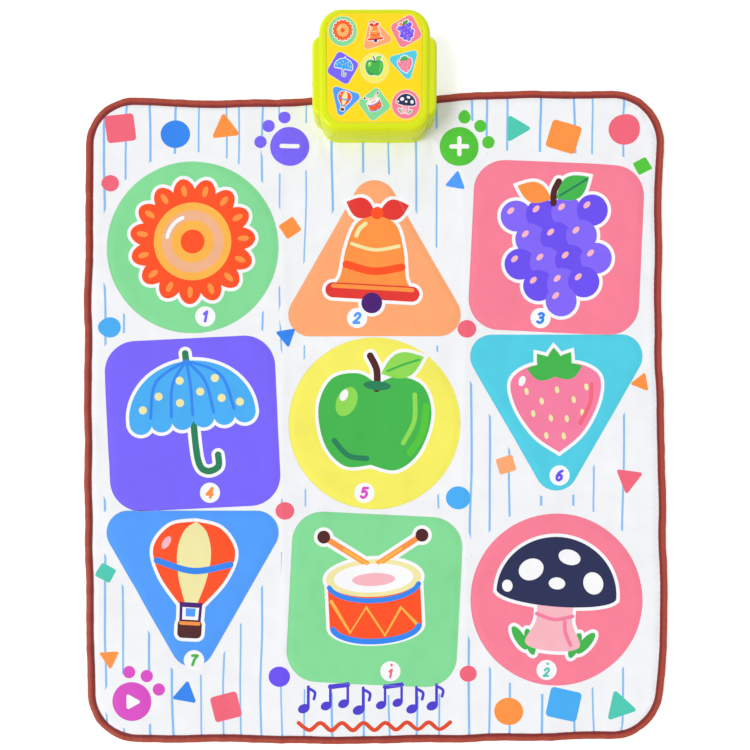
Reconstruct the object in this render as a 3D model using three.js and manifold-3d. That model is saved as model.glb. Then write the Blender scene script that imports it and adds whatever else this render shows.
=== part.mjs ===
// Musical dance mat: a quilted, printed floor mat with nine step pads and three control pads, and an
// electronic control box that clamps the middle of its top edge.
// Millimetres, +Z up. The mat lies flat with its top edge towards +Y, and the origin is on the floor,
// at the middle of the whole object's footprint.
import * as THREE from "three";
import { mergeVertices } from "three/addons/utils/BufferGeometryUtils.js";
import Module from "manifold-3d";

const wasm = await Module();
wasm.setup();

// Gaps: between a piece and its seat, between a moving piece and its window, and past a cut face.
const seatGap = 0.3;
const runGap = 0.5;
const overrun = 2;

// Mat outline and its bound edge.
const matWidth = 800;
const matLength = 900;
const matCornerRadius = 70;
const bindingWidth = 10.5;
const bindingTape = 1.2;
const bindingLip = 1;
const bindingRound = 2.4;

// Mat layers, from the floor up.
const backingThickness = 1.2;
const filmThickness = 0.4;
const spacerThickness = 1.2;
const quiltThickness = 3;
const flangeWidth = 12;
const filmInset = 14;

// Step pads: printed patches that stand proud of the quilt and sink flush when stepped on.
const padThickness = 1.8;
const padTravel = 1;
const padEdge = 0.6;
const padWindowGap = 0.6;
const sideBand = 22;
const boxEndBand = 89;
const playerEndBand = 79;
const padSpacing = 6;
const squarePadShare = 0.985;
const squareCornerShare = 0.18;
const triangleWidthShare = 1.185;
const triangleHeightShare = 1.035;
const triangleCornerShare = 0.126;

// Control pads beside the box and in the lower left corner.
const controlPadRadius = 27;
const volumePadGapX = 17;
const volumePadDrop = 4;
const gamePadFromSide = 64;
const gamePadFromEnd = 60;

// Control box, in plan and in height over the floor.
const boxLap = 67;
const boxFarStrip = 29.7;
const boxSideStrip = 16;
const boxMiddleStrip = 4.2;
const boxNearRadius = 24;
const boxFarRadius = 30;
const boxNearHeight = 47;
const boxRise = 11;
const boxRim = 6;
const boxWall = 2.5;
const boxDraft = 1.4;
const partingHeight = 18;
const lipHeight = 1.6;
const lipThickness = 1.2;
const earReach = 9;
const earStart = 19;
const earEnd = 33;
const earRadius = 12;
const earDrop = 2.5;
const earRim = 4.5;

// Face panel, its recess, and the nine light wells under it.
const panelSideMargin = 11;
const panelEndMargin = 7.5;
const panelRadius = 22;
const panelThickness = 1.4;
const panelProud = 0.4;
const wellsPerSide = 3;
const wellMargin = 5;
const wellEdge = 3.7;

// Inside the box: light grid, circuit board, lamps and loudspeaker.
const gridWall = 1.2;
const gridHeight = 9;
const boardThickness = 1.6;
const boardMargin = 7;
const notchGap = 1.2;
const chipRadius = 9;
const chipHeight = 1.6;
const chipTopShare = 0.7;
const socketWall = 3;
const socketDepth = 6;
const socketHeight = 5;
const socketSlot = 1.8;
const lampRadius = 2.5;
const lampFlange = 0.6;
const lampHeight = 6.4;
const speakerRadius = 25;
const speakerFlange = 1.6;
const speakerDepth = 9;
const speakerConeWall = 0.8;
const magnetRadius = 15;
const magnetDepth = 6;
const grilleHoleRadius = 1.5;
const grilleRings = 3;
const grilleRingPitch = 6.2;
const speakerSeatWall = 1.4;
const speakerSeatHeight = 4;

// Battery bay for three cells side by side, with a hinged door underneath.
const cellCount = 3;
const cellRadius = 7.25;
const cellLength = 49.2;
const cellTipRadius = 2.75;
const cellTipLength = 1.1;
const cellPitch = 15.4;
const springWire = 0.7;
const springRadius = 3.2;
const springLength = 5;
const contactThickness = 0.5;
const bayWall = 1.8;
const bayMargin = 1.2;
const doorThickness = 2.4;
const doorPinRadius = 0.6;
const doorPinLength = 1;
const doorTabRadius = 5;
const doorTabReach = 3;
const gripCount = 5;
const gripWidth = 1.2;
const gripPitch = 3.6;
const gripDepth = 0.8;

// Screws, posts, feet and the plate that clamps the mat.
const screwShank = 1.3;
const screwHead = 3;
const screwHeadHeight = 1.6;
const screwSlotLength = 3.9;
const screwHoleGap = 0.4;
const screwBite = 7;
const doorScrewBite = 4;
const postWall = 2.2;
const postTop = 14;
const screwFromSide = 15.5;
const screwFromEnd = 15.5;
const clampPlateEnd = 9;
const clampPlateDepth = 17;
const clampPlateThickness = 1.6;
const clampHeadHeight = 1.2;
const footRadius = 4;
const footFromEdge = 2.6;
const footRecess = 0.8;
const footHeight = 1.2;

// Power switch in the left ear, and the ribbon that leads from the films to the board.
const knobLength = 6;
const knobHeight = 4;
const knobProud = 1.4;
const knobTravel = 4;
const sliderPlate = 1.2;
const switchBodyDepth = 3.6;
const switchBodyLength = 16;
const switchBodyHeight = 8;
const ribbonWidth = 40;
const ribbonThickness = 0.5;

// Facet counts.
const cornerSteps = 4;
const boxCornerSteps = 6;
const circleSteps = 32;
const roundSteps = 20;
const smallSteps = 12;
const holeSteps = 6;
const rimSteps = 3;
const wireSides = 4;

// The battery bay and the loudspeaker, side by side, set the size of the box.
const bayWidthX = cellLength + cellTipLength + springLength + 2 * contactThickness + 3 * seatGap;
const bayLengthY = (cellCount - 1) * cellPitch + 2 * (cellRadius + bayMargin);
const bayOuterWidth = bayWidthX + 2 * bayWall;
const bayOuterLength = bayLengthY + 2 * bayWall;
const boxWidth = bayOuterWidth + boxMiddleStrip + 2 * (speakerRadius + boxSideStrip);
const bayStartY = boxWall + seatGap + bayMargin;
const boxOverhang = bayStartY + bayOuterLength + boxFarStrip;
const boxLength = boxLap + boxOverhang;
const earLength = boxLength - earStart - earEnd;
const panelWidth = boxWidth - 2 * panelSideMargin;
const panelLength = boxLength - 2 * panelEndMargin;
const wellPitchX = (panelWidth - 2 * wellMargin) / wellsPerSide;
const wellPitchY = (panelLength - 2 * wellMargin) / wellsPerSide;
const wellRadius = Math.min(wellPitchX, wellPitchY) / 2 - wellEdge;

// Pads fill a field of three columns and three rows.
const columnPitch = (matWidth - 2 * sideBand) / 3;
const rowPitch = (matLength - boxEndBand - playerEndBand) / 3;
const rowShift = (playerEndBand - boxEndBand) / 2;
const padSize = Math.min(columnPitch, rowPitch) - padSpacing;
const circlePadRadius = padSize / 2;
const squarePadSide = padSize * squarePadShare;
const squarePadRadius = padSize * squareCornerShare;
const trianglePadWidth = padSize * triangleWidthShare;
const trianglePadHeight = padSize * triangleHeightShare;
const trianglePadRadius = padSize * triangleCornerShare;

// Places and heights that follow from the sizes above.
const matCentreY = -boxOverhang / 2;
const matTopY = matCentreY + matLength / 2;
const boxFarY = matTopY + boxOverhang;
const boxNearY = boxFarY - boxLength;
const faceSlope = boxRise / boxLength;
const lowerFilmZ = backingThickness;
const spacerZ = lowerFilmZ + filmThickness;
const upperFilmZ = spacerZ + spacerThickness;
const quiltZ = upperFilmZ + filmThickness;
const quiltTop = quiltZ + quiltThickness;
const flangeTop = quiltTop - bindingLip;
const bindingTop = flangeTop + bindingTape;
const padTop = quiltTop + padTravel;
const padFloor = padTop - padThickness;
const shellOverMat = bindingTop + seatGap;
const shellFloor = footHeight;

const materials = {
  quilt: { color: 0xf3f5fa, roughness: 0.85, metalness: 0 },
  binding: { color: 0x95403a, roughness: 0.9, metalness: 0 },
  backing: { color: 0x8f959c, roughness: 0.9, metalness: 0 },
  film: { color: 0xd9e4e8, roughness: 0.35, metalness: 0 },
  spacer: { color: 0xf0efe8, roughness: 0.95, metalness: 0 },
  ribbon: { color: 0xc9924a, roughness: 0.4, metalness: 0 },
  shell: { color: 0xd9e62e, roughness: 0.22, metalness: 0 },
  panel: { color: 0xffe011, roughness: 0.3, metalness: 0 },
  grid: { color: 0xf4f4f0, roughness: 0.6, metalness: 0 },
  board: { color: 0x2f6d3c, roughness: 0.45, metalness: 0 },
  lamp: { color: 0xf6f2e6, roughness: 0.12, metalness: 0 },
  steel: { color: 0xb9bcc0, roughness: 0.3, metalness: 1 },
  magnet: { color: 0x55585c, roughness: 0.5, metalness: 0.8 },
  cone: { color: 0x2b2b2d, roughness: 0.9, metalness: 0 },
  cell: { color: 0x3d4a57, roughness: 0.35, metalness: 0.3 },
  rubber: { color: 0x3a3a3c, roughness: 0.85, metalness: 0 },
  knob: { color: 0x2a2c30, roughness: 0.45, metalness: 0 },
  peach: { color: 0xfeab79, roughness: 0.85, metalness: 0 },
  pink: { color: 0xf9809c, roughness: 0.85, metalness: 0 },
  mint: { color: 0x7fe096, roughness: 0.85, metalness: 0 },
  lemon: { color: 0xf8ec5c, roughness: 0.85, metalness: 0 },
  purple: { color: 0x7864fd, roughness: 0.85, metalness: 0 },
  sky: { color: 0x4d9dfd, roughness: 0.85, metalness: 0 },
  aqua: { color: 0x4fcfe6, roughness: 0.85, metalness: 0 },
  leaf: { color: 0x46c040, roughness: 0.85, metalness: 0 },
  magenta: { color: 0xe23cc4, roughness: 0.85, metalness: 0 },
};

const part = new THREE.Group();

function materialOf(name) {
  return new THREE.MeshStandardMaterial(materials[name]);
}

function addPiece(name, geometry, material) {
  const mesh = new THREE.Mesh(geometry, materialOf(material));
  mesh.name = name;
  part.add(mesh);
  return mesh;
}

// Boolean work: a geometry becomes a solid, solids are cut or joined, and the result comes back.
const mergeTolerance = 1e-4;

function solidOf(geometry) {
  const bare = new THREE.BufferGeometry();
  const source = geometry.index ? geometry.toNonIndexed() : geometry;
  bare.setAttribute("position", source.getAttribute("position"));
  const merged = mergeVertices(bare, mergeTolerance);
  const vertProperties = new Float32Array(merged.attributes.position.array);
  const triVerts = new Uint32Array(merged.index.array);
  return new wasm.Manifold(new wasm.Mesh({ numProp: 3, vertProperties, triVerts }));
}

function geometryOf(solid) {
  const mesh = solid.getMesh();
  const geometry = new THREE.BufferGeometry();
  geometry.setAttribute("position", new THREE.BufferAttribute(mesh.vertProperties, 3));
  geometry.setIndex(new THREE.BufferAttribute(mesh.triVerts, 1));
  return geometry;
}

function join(...geometries) {
  return geometryOf(geometries.map(solidOf).reduce((whole, piece) => whole.add(piece)));
}

function cut(geometry, ...tools) {
  return geometryOf(tools.map(solidOf).reduce((whole, tool) => whole.subtract(tool), solidOf(geometry)));
}

// A loop of points with outward normals, from corners [x, y, radius] listed anticlockwise.
function roundedLoop(corners, steps = cornerSteps) {
  const loop = [];
  corners.forEach(([x, y, radius], i) => {
    const before = corners[(i + corners.length - 1) % corners.length];
    const after = corners[(i + 1) % corners.length];
    const arriving = new THREE.Vector2(x - before[0], y - before[1]).normalize();
    const leaving = new THREE.Vector2(after[0] - x, after[1] - y).normalize();
    const turn = Math.atan2(arriving.cross(leaving), arriving.dot(leaving));
    const start = Math.atan2(-arriving.x, arriving.y);
    const reach = radius * Math.tan(turn / 2);
    const centreX = x - arriving.x * reach - arriving.y * radius;
    const centreY = y - arriving.y * reach + arriving.x * radius;
    for (let step = 0; step <= steps; step++) {
      const angle = start + (turn * step) / steps;
      const nx = Math.cos(angle);
      const ny = Math.sin(angle);
      loop.push({ x: centreX + nx * radius, y: centreY + ny * radius, nx, ny });
    }
  });
  return loop;
}

function circleLoop(radius, steps = circleSteps) {
  return Array.from({ length: steps }, (_, i) => {
    const nx = Math.cos((i * 2 * Math.PI) / steps);
    const ny = Math.sin((i * 2 * Math.PI) / steps);
    return { x: nx * radius, y: ny * radius, nx, ny };
  });
}

function rectangleLoop(width, length, radius, steps) {
  const x = width / 2;
  const y = length / 2;
  return roundedLoop([[x, -y, radius], [x, y, radius], [-x, y, radius], [-x, -y, radius]], steps);
}

function placedLoop(loop, centreX, centreY, turn = 0) {
  const c = Math.cos(turn);
  const s = Math.sin(turn);
  return loop.map((p) => ({
    x: centreX + p.x * c - p.y * s,
    y: centreY + p.x * s + p.y * c,
    nx: p.nx * c - p.ny * s,
    ny: p.nx * s + p.ny * c,
  }));
}

// A ring of 3-D points: the loop moved inwards, at a height that can depend on y.
function ringAt(loop, inset, height) {
  return loop.map((p) => {
    const y = p.y - p.ny * inset;
    const z = typeof height === "function" ? height(y) : height;
    return new THREE.Vector3(p.x - p.nx * inset, y, z);
  });
}

function closedGeometry(points, faces) {
  const geometry = new THREE.BufferGeometry();
  const positions = new Float32Array(points.flatMap((p) => [p.x, p.y, p.z]));
  geometry.setAttribute("position", new THREE.BufferAttribute(positions, 3));
  geometry.setIndex(faces);
  return geometry;
}

// A closed skin over a stack of rings with equal counts, from the lowest ring up, capped flat.
function loft(rings) {
  const count = rings[0].length;
  const faces = [];
  for (let level = 0; level + 1 < rings.length; level++) {
    for (let i = 0; i < count; i++) {
      const next = (i + 1) % count;
      const a = level * count + i;
      const b = level * count + next;
      faces.push(a, b, b + count, a, b + count, a + count);
    }
  }
  const outline = rings[0].map((p) => new THREE.Vector2(p.x, p.y));
  const top = (rings.length - 1) * count;
  for (const [a, b, c] of THREE.ShapeUtils.triangulateShape(outline, [])) {
    faces.push(a, c, b, top + a, top + b, top + c);
  }
  return closedGeometry(rings.flat(), faces);
}

function plate(loop, bottom, top, inset = 0) {
  return loft([ringAt(loop, inset, bottom), ringAt(loop, inset, top)]);
}

function block(width, length, height, centreX, centreY, bottom) {
  const geometry = new THREE.BoxGeometry(width, length, height);
  return geometry.translate(centreX, centreY, bottom + height / 2);
}

function post(radius, bottom, top, centreX, centreY, steps = smallSteps) {
  return plate(placedLoop(circleLoop(radius, steps), centreX, centreY), bottom, top);
}

// A tube of any section, given as [inset, height] points, run round a closed loop.
function sweptRing(loop, section) {
  const points = loop.flatMap((p) => section.map(([inset, z]) => ringAt([p], inset, z)[0]));
  const faces = [];
  loop.forEach((_, i) => {
    section.forEach((__, j) => {
      const a = i * section.length + j;
      const b = i * section.length + ((j + 1) % section.length);
      const c = ((i + 1) % loop.length) * section.length + j;
      const d = ((i + 1) % loop.length) * section.length + ((j + 1) % section.length);
      faces.push(a, c, d, a, d, b);
    });
  });
  return closedGeometry(points, faces);
}

function turned(profile, steps = smallSteps) {
  const points = profile.map(([radius, height]) => new THREE.Vector2(radius, height));
  return new THREE.LatheGeometry(points, steps).rotateX(Math.PI / 2);
}

// The face of the box rises towards the far edge: this leans a level piece to the same slope.
function raked(geometry) {
  const position = geometry.getAttribute("position");
  for (let i = 0; i < position.count; i++) {
    position.setZ(i, position.getZ(i) + faceSlope * (position.getY(i) - boxNearY));
  }
  return geometry;
}

function faceAt(depth) {
  return (y) => boxNearHeight - depth + faceSlope * (y - boxNearY);
}

// Plan outlines of the pads. Each pad has a number, a shape, a place in the grid and an ink.
const matLoop = placedLoop(rectangleLoop(matWidth, matLength, matCornerRadius), 0, matCentreY);

function trianglePadLoop() {
  const x = trianglePadWidth / 2;
  const y = trianglePadHeight / 2;
  return roundedLoop([
    [-x, -y, trianglePadRadius],
    [x, -y, trianglePadRadius],
    [0, y, trianglePadRadius],
  ]);
}

const padShapes = {
  circle: () => circleLoop(circlePadRadius),
  square: () => rectangleLoop(squarePadSide, squarePadSide, squarePadRadius),
  triangle: trianglePadLoop,
};

const slightTurn = 0.05;
const stepPads = [
  { number: 1, shape: "circle", column: -1, row: 1, turn: 0, ink: "mint" },
  { number: 2, shape: "triangle", column: 0, row: 1, turn: 0, ink: "peach" },
  { number: 3, shape: "square", column: 1, row: 1, turn: -slightTurn, ink: "pink" },
  { number: 4, shape: "square", column: -1, row: 0, turn: slightTurn, ink: "purple" },
  { number: 5, shape: "circle", column: 0, row: 0, turn: 0, ink: "lemon" },
  { number: 6, shape: "triangle", column: 1, row: 0, turn: Math.PI, ink: "aqua" },
  { number: 7, shape: "triangle", column: -1, row: -1, turn: Math.PI, ink: "sky" },
  { number: 8, shape: "square", column: 0, row: -1, turn: -slightTurn, ink: "mint" },
  { number: 9, shape: "circle", column: 1, row: -1, turn: 0, ink: "pink" },
];

const volumePadX = boxWidth / 2 + volumePadGapX + controlPadRadius;
const volumePadY = boxNearY - volumePadDrop;
const controlPads = [
  { name: "volume_down_pad", x: -volumePadX, y: volumePadY, ink: "purple" },
  { name: "volume_up_pad", x: volumePadX, y: volumePadY, ink: "leaf" },
  {
    name: "game_pad",
    x: gamePadFromSide - matWidth / 2,
    y: matCentreY - matLength / 2 + gamePadFromEnd,
    ink: "magenta",
  },
];

const pads = [
  ...stepPads.map((pad) => {
    const x = pad.column * columnPitch;
    const y = matCentreY + rowShift + pad.row * rowPitch;
    const loop = placedLoop(padShapes[pad.shape](), x, y, pad.turn);
    return { name: `step_pad_${pad.number}`, loop, ink: pad.ink };
  }),
  ...controlPads.map((pad) => {
    const loop = placedLoop(circleLoop(controlPadRadius, circleSteps / 2), pad.x, pad.y);
    return { name: pad.name, loop, ink: pad.ink };
  }),
];

// Screws: three through the clamp plate and the mat, two through the deep end of the rear shell.
const nearScrewY = boxNearY + screwFromEnd;
const farScrewY = boxFarY - screwFromEnd;
const sideScrewX = boxWidth / 2 - screwFromSide;
const clampScrews = [
  { name: "clamp_screw_left", x: -sideScrewX, y: nearScrewY, reachesFrontShell: true },
  { name: "clamp_screw_middle", x: 0, y: nearScrewY, reachesFrontShell: false },
  { name: "clamp_screw_right", x: sideScrewX, y: nearScrewY, reachesFrontShell: true },
];
const shellScrews = [
  { name: "shell_screw_left", x: -sideScrewX, y: farScrewY },
  { name: "shell_screw_right", x: sideScrewX, y: farScrewY },
];
const bossPlaces = [...clampScrews.filter((s) => s.reachesFrontShell), ...shellScrews];
const screwHole = screwShank + screwHoleGap;
const postRadius = screwHole + postWall;
const clampPlateZ = seatGap;
const clampPlateWidth = 2 * (sideScrewX + clampPlateEnd);
const clampPocketTop = clampPlateZ + clampPlateThickness + seatGap;

// Battery bay, left of the middle; loudspeaker, right of it.
const deepStartY = matTopY + boxWall + seatGap;
const bayFloor = shellFloor + doorThickness + seatGap;
const bayX = boxSideStrip + (bayOuterWidth - boxWidth) / 2;
const bayY = matTopY + bayStartY + bayOuterLength / 2;
const cellZ = bayFloor + cellRadius + seatGap;
const bayTop = cellZ + cellRadius + bayMargin;
const doorTop = shellFloor + doorThickness;
const doorAxisY = bayY - bayLengthY / 2 + seatGap + doorThickness / 2;
const doorAxisZ = shellFloor + doorThickness / 2;
const doorScrewY = bayY + bayLengthY / 2 + doorTabReach;
const speakerX = boxWidth / 2 - boxSideStrip - speakerRadius;
const speakerY = (deepStartY + boxFarY - boxWall) / 2;
const speakerZ = shellFloor + boxWall + seatGap;

// Ribbon slit, through the quilt and the rear shell.
const ribbonY = (nearScrewY + matTopY) / 2;
const ribbonBottom = quiltZ + seatGap;
const slitWidth = ribbonWidth + 2 * runGap;
const slitDepth = ribbonThickness + 2 * runGap;

// Mat: printed quilt, films, spacer, backing and edge binding.
function clampHoles(bottom, top) {
  return clampScrews.map((s) => post(screwHole, bottom - overrun, top + overrun, s.x, s.y));
}

function clampPocket() {
  const width = clampPlateWidth + 2 * seatGap;
  const depth = clampPlateDepth + 2 * seatGap;
  return block(width, depth, clampPocketTop + overrun, 0, nearScrewY, -overrun);
}

function makeQuilt() {
  const body = plate(matLoop, quiltZ, quiltTop, bindingWidth + seatGap);
  const flangeBottom = quiltZ - bindingLip;
  const flange = plate(matLoop, flangeBottom, flangeTop, bindingTape + seatGap);
  const underside = plate(matLoop, flangeBottom - overrun, quiltZ, flangeWidth);
  const sheet = cut(join(body, flange), underside);
  const recesses = pads.map((pad) => plate(pad.loop, padFloor - padTravel, padTop, -padWindowGap));
  const slit = block(slitWidth, slitDepth, quiltThickness + 2 * overrun, 0, ribbonY, quiltZ - overrun);
  return cut(sheet, ...recesses, slit, ...clampHoles(quiltZ, quiltTop));
}

function makePad(loop) {
  const rings = [
    ringAt(loop, 0, padFloor),
    ringAt(loop, 0, padTop - padEdge),
    ringAt(loop, padEdge, padTop),
  ];
  return loft(rings);
}

function makeFilm(bottom) {
  const sheet = plate(matLoop, bottom, bottom + filmThickness, filmInset);
  return cut(sheet, ...clampHoles(bottom, bottom + filmThickness));
}

function makeLowerFilm() {
  return cut(makeFilm(lowerFilmZ), clampPocket());
}

function makeSpacer() {
  const top = spacerZ + spacerThickness;
  const sheet = plate(matLoop, spacerZ, top, filmInset);
  const windows = pads.map((pad) => plate(pad.loop, spacerZ - overrun, top + overrun, flangeWidth));
  return cut(sheet, ...windows, clampPocket(), ...clampHoles(spacerZ, top));
}

function makeBacking() {
  const sheet = plate(matLoop, 0, backingThickness, bindingWidth + seatGap);
  const flangeBottom = bindingLip;
  const flange = plate(matLoop, flangeBottom, quiltZ - bindingLip, bindingTape + seatGap);
  const hollow = plate(matLoop, backingThickness, quiltZ, flangeWidth);
  return cut(join(sheet, flange), hollow, clampPocket(), ...clampHoles(0, backingThickness));
}

function makeBinding() {
  const arc = (centreZ, from) =>
    Array.from({ length: rimSteps + 1 }, (_, i) => {
      const angle = from - (i * Math.PI) / 2 / rimSteps;
      return [bindingRound + bindingRound * Math.cos(angle), centreZ + bindingRound * Math.sin(angle)];
    });
  const section = [
    [bindingWidth, 0],
    ...arc(bindingRound, -Math.PI / 2),
    ...arc(bindingTop - bindingRound, Math.PI),
    [bindingWidth, bindingTop],
    [bindingWidth, flangeTop],
    [bindingTape, flangeTop],
    [bindingTape, bindingLip],
    [bindingWidth, bindingLip],
  ];
  return sweptRing(matLoop, section);
}

// Control box shells: a body with a rolled rim, and lower ears that run along both sides.
const bodyLoop = placedLoop(
  roundedLoop(
    [
      [boxWidth / 2, 0, boxNearRadius],
      [boxWidth / 2, boxLength, boxFarRadius],
      [-boxWidth / 2, boxLength, boxFarRadius],
      [-boxWidth / 2, 0, boxNearRadius],
    ],
    boxCornerSteps,
  ),
  0,
  boxNearY,
);
const earLoop = placedLoop(
  rectangleLoop(boxWidth + 2 * earReach, earLength, earRadius, boxCornerSteps),
  0,
  boxNearY + earStart + earLength / 2,
);

function rolledRings(loop, topDepth, rim) {
  return Array.from({ length: rimSteps + 1 }, (_, i) => {
    const angle = (i * Math.PI) / 2 / rimSteps;
    const inset = rim * (1 - Math.cos(angle));
    return ringAt(loop, inset, faceAt(topDepth + rim * (1 - Math.sin(angle))));
  });
}

function frontVolume(loop, inset, topDepth, rim, bottom) {
  const inner = loop.map((p) => ({ ...p, x: p.x - p.nx * inset, y: p.y - p.ny * inset }));
  return loft([ringAt(inner, 0, bottom), ...rolledRings(inner, topDepth, rim)]);
}

function rearVolume(loop, inset, bottom, top) {
  const draft = (boxDraft * (top - bottom)) / partingHeight;
  return loft([ringAt(loop, inset + draft, bottom), ringAt(loop, inset, top)]);
}

const wellRows = Array.from({ length: wellsPerSide }, (_, i) => i - (wellsPerSide - 1) / 2);
const panelCentreY = boxNearY + boxLength / 2;

function eachWell(make) {
  return wellRows.flatMap((row) =>
    wellRows.map((column) => make(column * wellPitchX, panelCentreY + row * wellPitchY)),
  );
}

function makeFrontShell() {
  const wall = boxWall;
  const outer = join(
    frontVolume(bodyLoop, 0, 0, boxRim, partingHeight),
    frontVolume(earLoop, 0, earDrop, earRim, partingHeight),
  );
  const panelBed = panelThickness - panelProud;
  const bottom = partingHeight - overrun;
  const inner = join(
    frontVolume(bodyLoop, wall, panelBed + wall, boxRim - wall / 2, bottom),
    frontVolume(earLoop, wall, earDrop + wall, wall / 2, bottom),
  );
  const panelLoop = placedLoop(
    rectangleLoop(panelWidth + 2 * seatGap, panelLength + 2 * seatGap, panelRadius),
    0,
    panelCentreY,
  );
  const recess = loft([ringAt(panelLoop, 0, faceAt(panelBed)), ringAt(panelLoop, 0, faceAt(-overrun))]);
  const wells = eachWell((x, y) => {
    const loop = placedLoop(circleLoop(wellRadius, smallSteps), x, y);
    return loft([ringAt(loop, 0, faceAt(panelBed + wall + overrun)), ringAt(loop, 0, faceAt(0))]);
  });
  const bossBottom = postTop + seatGap;
  const bossTop = boxNearHeight - panelBed - wall / 2;
  const bosses = bossPlaces.map((s) => {
    const loop = placedLoop(circleLoop(postRadius, smallSteps), s.x, s.y);
    return loft([ringAt(loop, 0, bossBottom), ringAt(loop, 0, faceAt(panelBed + wall / 2))]);
  });
  const holes = bossPlaces.map((s) =>
    post(screwHole, bossBottom - overrun, bossTop - wall, s.x, s.y),
  );
  const walls = cut(outer, inner, recess, ...wells);
  return cut(join(walls, ...bosses), ...holes, switchWindow());
}

// Power switch: a window in the left ear, a slider in it, and the switch body behind.
const switchY = boxNearY + earStart + earLength / 2;
const switchZ = (partingHeight + lipHeight + faceAt(earDrop + boxWall)(switchY)) / 2;
const earFaceX = -(boxWidth / 2 + earReach);
const sliderX = earFaceX + boxWall + seatGap;
const switchBodyX = sliderX + sliderPlate + seatGap;

function switchWindow() {
  const length = knobLength + knobTravel + 2 * runGap;
  const height = knobHeight + 2 * runGap;
  return block(2 * boxWall, length, height, earFaceX, switchY, switchZ - height / 2);
}

function makeSlider() {
  const y = switchY - knobTravel / 2;
  const depth = sliderX + sliderPlate - earFaceX + knobProud;
  const knobX = earFaceX - knobProud;
  const knob = block(depth, knobLength, knobHeight, knobX + depth / 2, y, switchZ - knobHeight / 2);
  const plateLength = knobLength + knobTravel + 2 * boxWall;
  const plateHeight = knobHeight + 2 * boxWall;
  const plateX = sliderX + sliderPlate / 2;
  const back = block(sliderPlate, plateLength, plateHeight, plateX, y, switchZ - plateHeight / 2);
  const notch = block(knobProud, gripWidth, 2 * knobHeight, knobX, y, switchZ - knobHeight);
  return cut(join(knob, back), notch);
}

function makeSwitchBody() {
  const x = switchBodyX + switchBodyDepth / 2;
  const bottom = switchZ - switchBodyHeight / 2;
  return block(switchBodyDepth, switchBodyLength, switchBodyHeight, x, switchY, bottom);
}

// Face panel, light grid and circuit board all lie parallel to the face.
function makePanel() {
  const loop = placedLoop(rectangleLoop(panelWidth, panelLength, panelRadius), 0, panelCentreY);
  const bottom = panelThickness - panelProud - seatGap / 2;
  const edge = panelProud / 2;
  return loft([
    ringAt(loop, 0, faceAt(bottom)),
    ringAt(loop, 0, faceAt(edge - panelProud)),
    ringAt(loop, edge, faceAt(-panelProud)),
  ]);
}

const gridTopDepth = panelThickness - panelProud + boxWall + seatGap;
const boardTopDepth = gridTopDepth + gridHeight + seatGap;
const boardWidth = boxWidth - 2 * (boxWall + boardMargin);
const boardLength = boxLength - 2 * (boxWall + boardMargin);
const boardRadius = boxNearRadius - boardMargin;
const socketWidth = ribbonWidth + 2 * socketWall;

function bossNotches(bottom, top) {
  const radius = postRadius + notchGap;
  return bossPlaces.map((s) => post(radius, bottom - overrun, top + overrun, s.x, s.y));
}

function makeGrid() {
  const width = wellsPerSide * wellPitchX + gridWall;
  const length = wellsPerSide * wellPitchY + gridWall;
  const bottom = boxNearHeight - gridTopDepth - gridHeight;
  const outline = placedLoop(rectangleLoop(width, length, gridWall, 1), 0, panelCentreY);
  const frame = plate(outline, bottom, bottom + gridHeight);
  const cells = eachWell((x, y) =>
    block(wellPitchX - gridWall, wellPitchY - gridWall, gridHeight + 2 * overrun, x, y, bottom - overrun),
  );
  return raked(cut(frame, ...cells, ...bossNotches(bottom, bottom + gridHeight)));
}

function makeBoard() {
  const top = boxNearHeight - boardTopDepth;
  const bottom = top - boardThickness;
  const outline = placedLoop(rectangleLoop(boardWidth, boardLength, boardRadius), 0, panelCentreY);
  const sheet = plate(outline, bottom, top);
  const chip = turned([
    [0, 0],
    [chipRadius, 0],
    [chipRadius * chipTopShare, chipHeight * chipTopShare],
    [0, chipHeight],
  ]);
  chip.rotateX(Math.PI).translate(-wellPitchX / 2, panelCentreY, bottom + seatGap);
  const socketBottom = bottom - socketHeight;
  const socket = cut(
    block(socketWidth, socketDepth, socketHeight + boardThickness / 2, 0, ribbonY, socketBottom),
    block(slitWidth, socketSlot, socketHeight, 0, ribbonY, socketBottom - overrun),
  );
  return raked(join(cut(sheet, ...bossNotches(bottom, top)), chip, socket));
}

function makeLamp(x, y) {
  const round = lampRadius;
  const profile = [
    [0, 0],
    [round + lampFlange, 0],
    [round + lampFlange, lampFlange],
    [round, lampFlange],
    [round, lampHeight - round],
    [round * Math.cos(Math.PI / 4), lampHeight - round + round * Math.sin(Math.PI / 4)],
    [0, lampHeight],
  ];
  const base = faceAt(boardTopDepth)(y + lampRadius + lampFlange) + seatGap;
  return turned(profile, smallSteps).translate(x, y, base);
}

// Loudspeaker: a pressed frame, a paper cone behind the grille, and its magnet.
function makeSpeakerFrame() {
  const rim = speakerRadius - 2 * speakerFlange;
  const back = speakerFlange + speakerDepth;
  const profile = [
    [rim, 0],
    [speakerRadius, 0],
    [speakerRadius, speakerFlange],
    [rim + speakerFlange, speakerFlange],
    [magnetRadius, back],
    [magnetRadius / 2, back],
    [magnetRadius / 2, back - speakerFlange],
    [magnetRadius - speakerFlange, back - speakerFlange],
    [rim, speakerFlange],
    [rim, 0],
  ];
  return turned(profile, roundSteps).translate(speakerX, speakerY, speakerZ);
}

function makeSpeakerCone() {
  const rim = speakerRadius - 2 * speakerFlange - seatGap;
  const depth = speakerDepth - 2 * speakerFlange;
  const profile = [
    [0, speakerFlange * 2],
    [magnetRadius / 2, depth - speakerConeWall],
    [rim, speakerConeWall],
    [rim, 2 * speakerConeWall],
    [magnetRadius / 2, depth],
    [0, depth],
  ];
  return turned(profile, roundSteps).translate(speakerX, speakerY, speakerZ);
}

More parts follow.
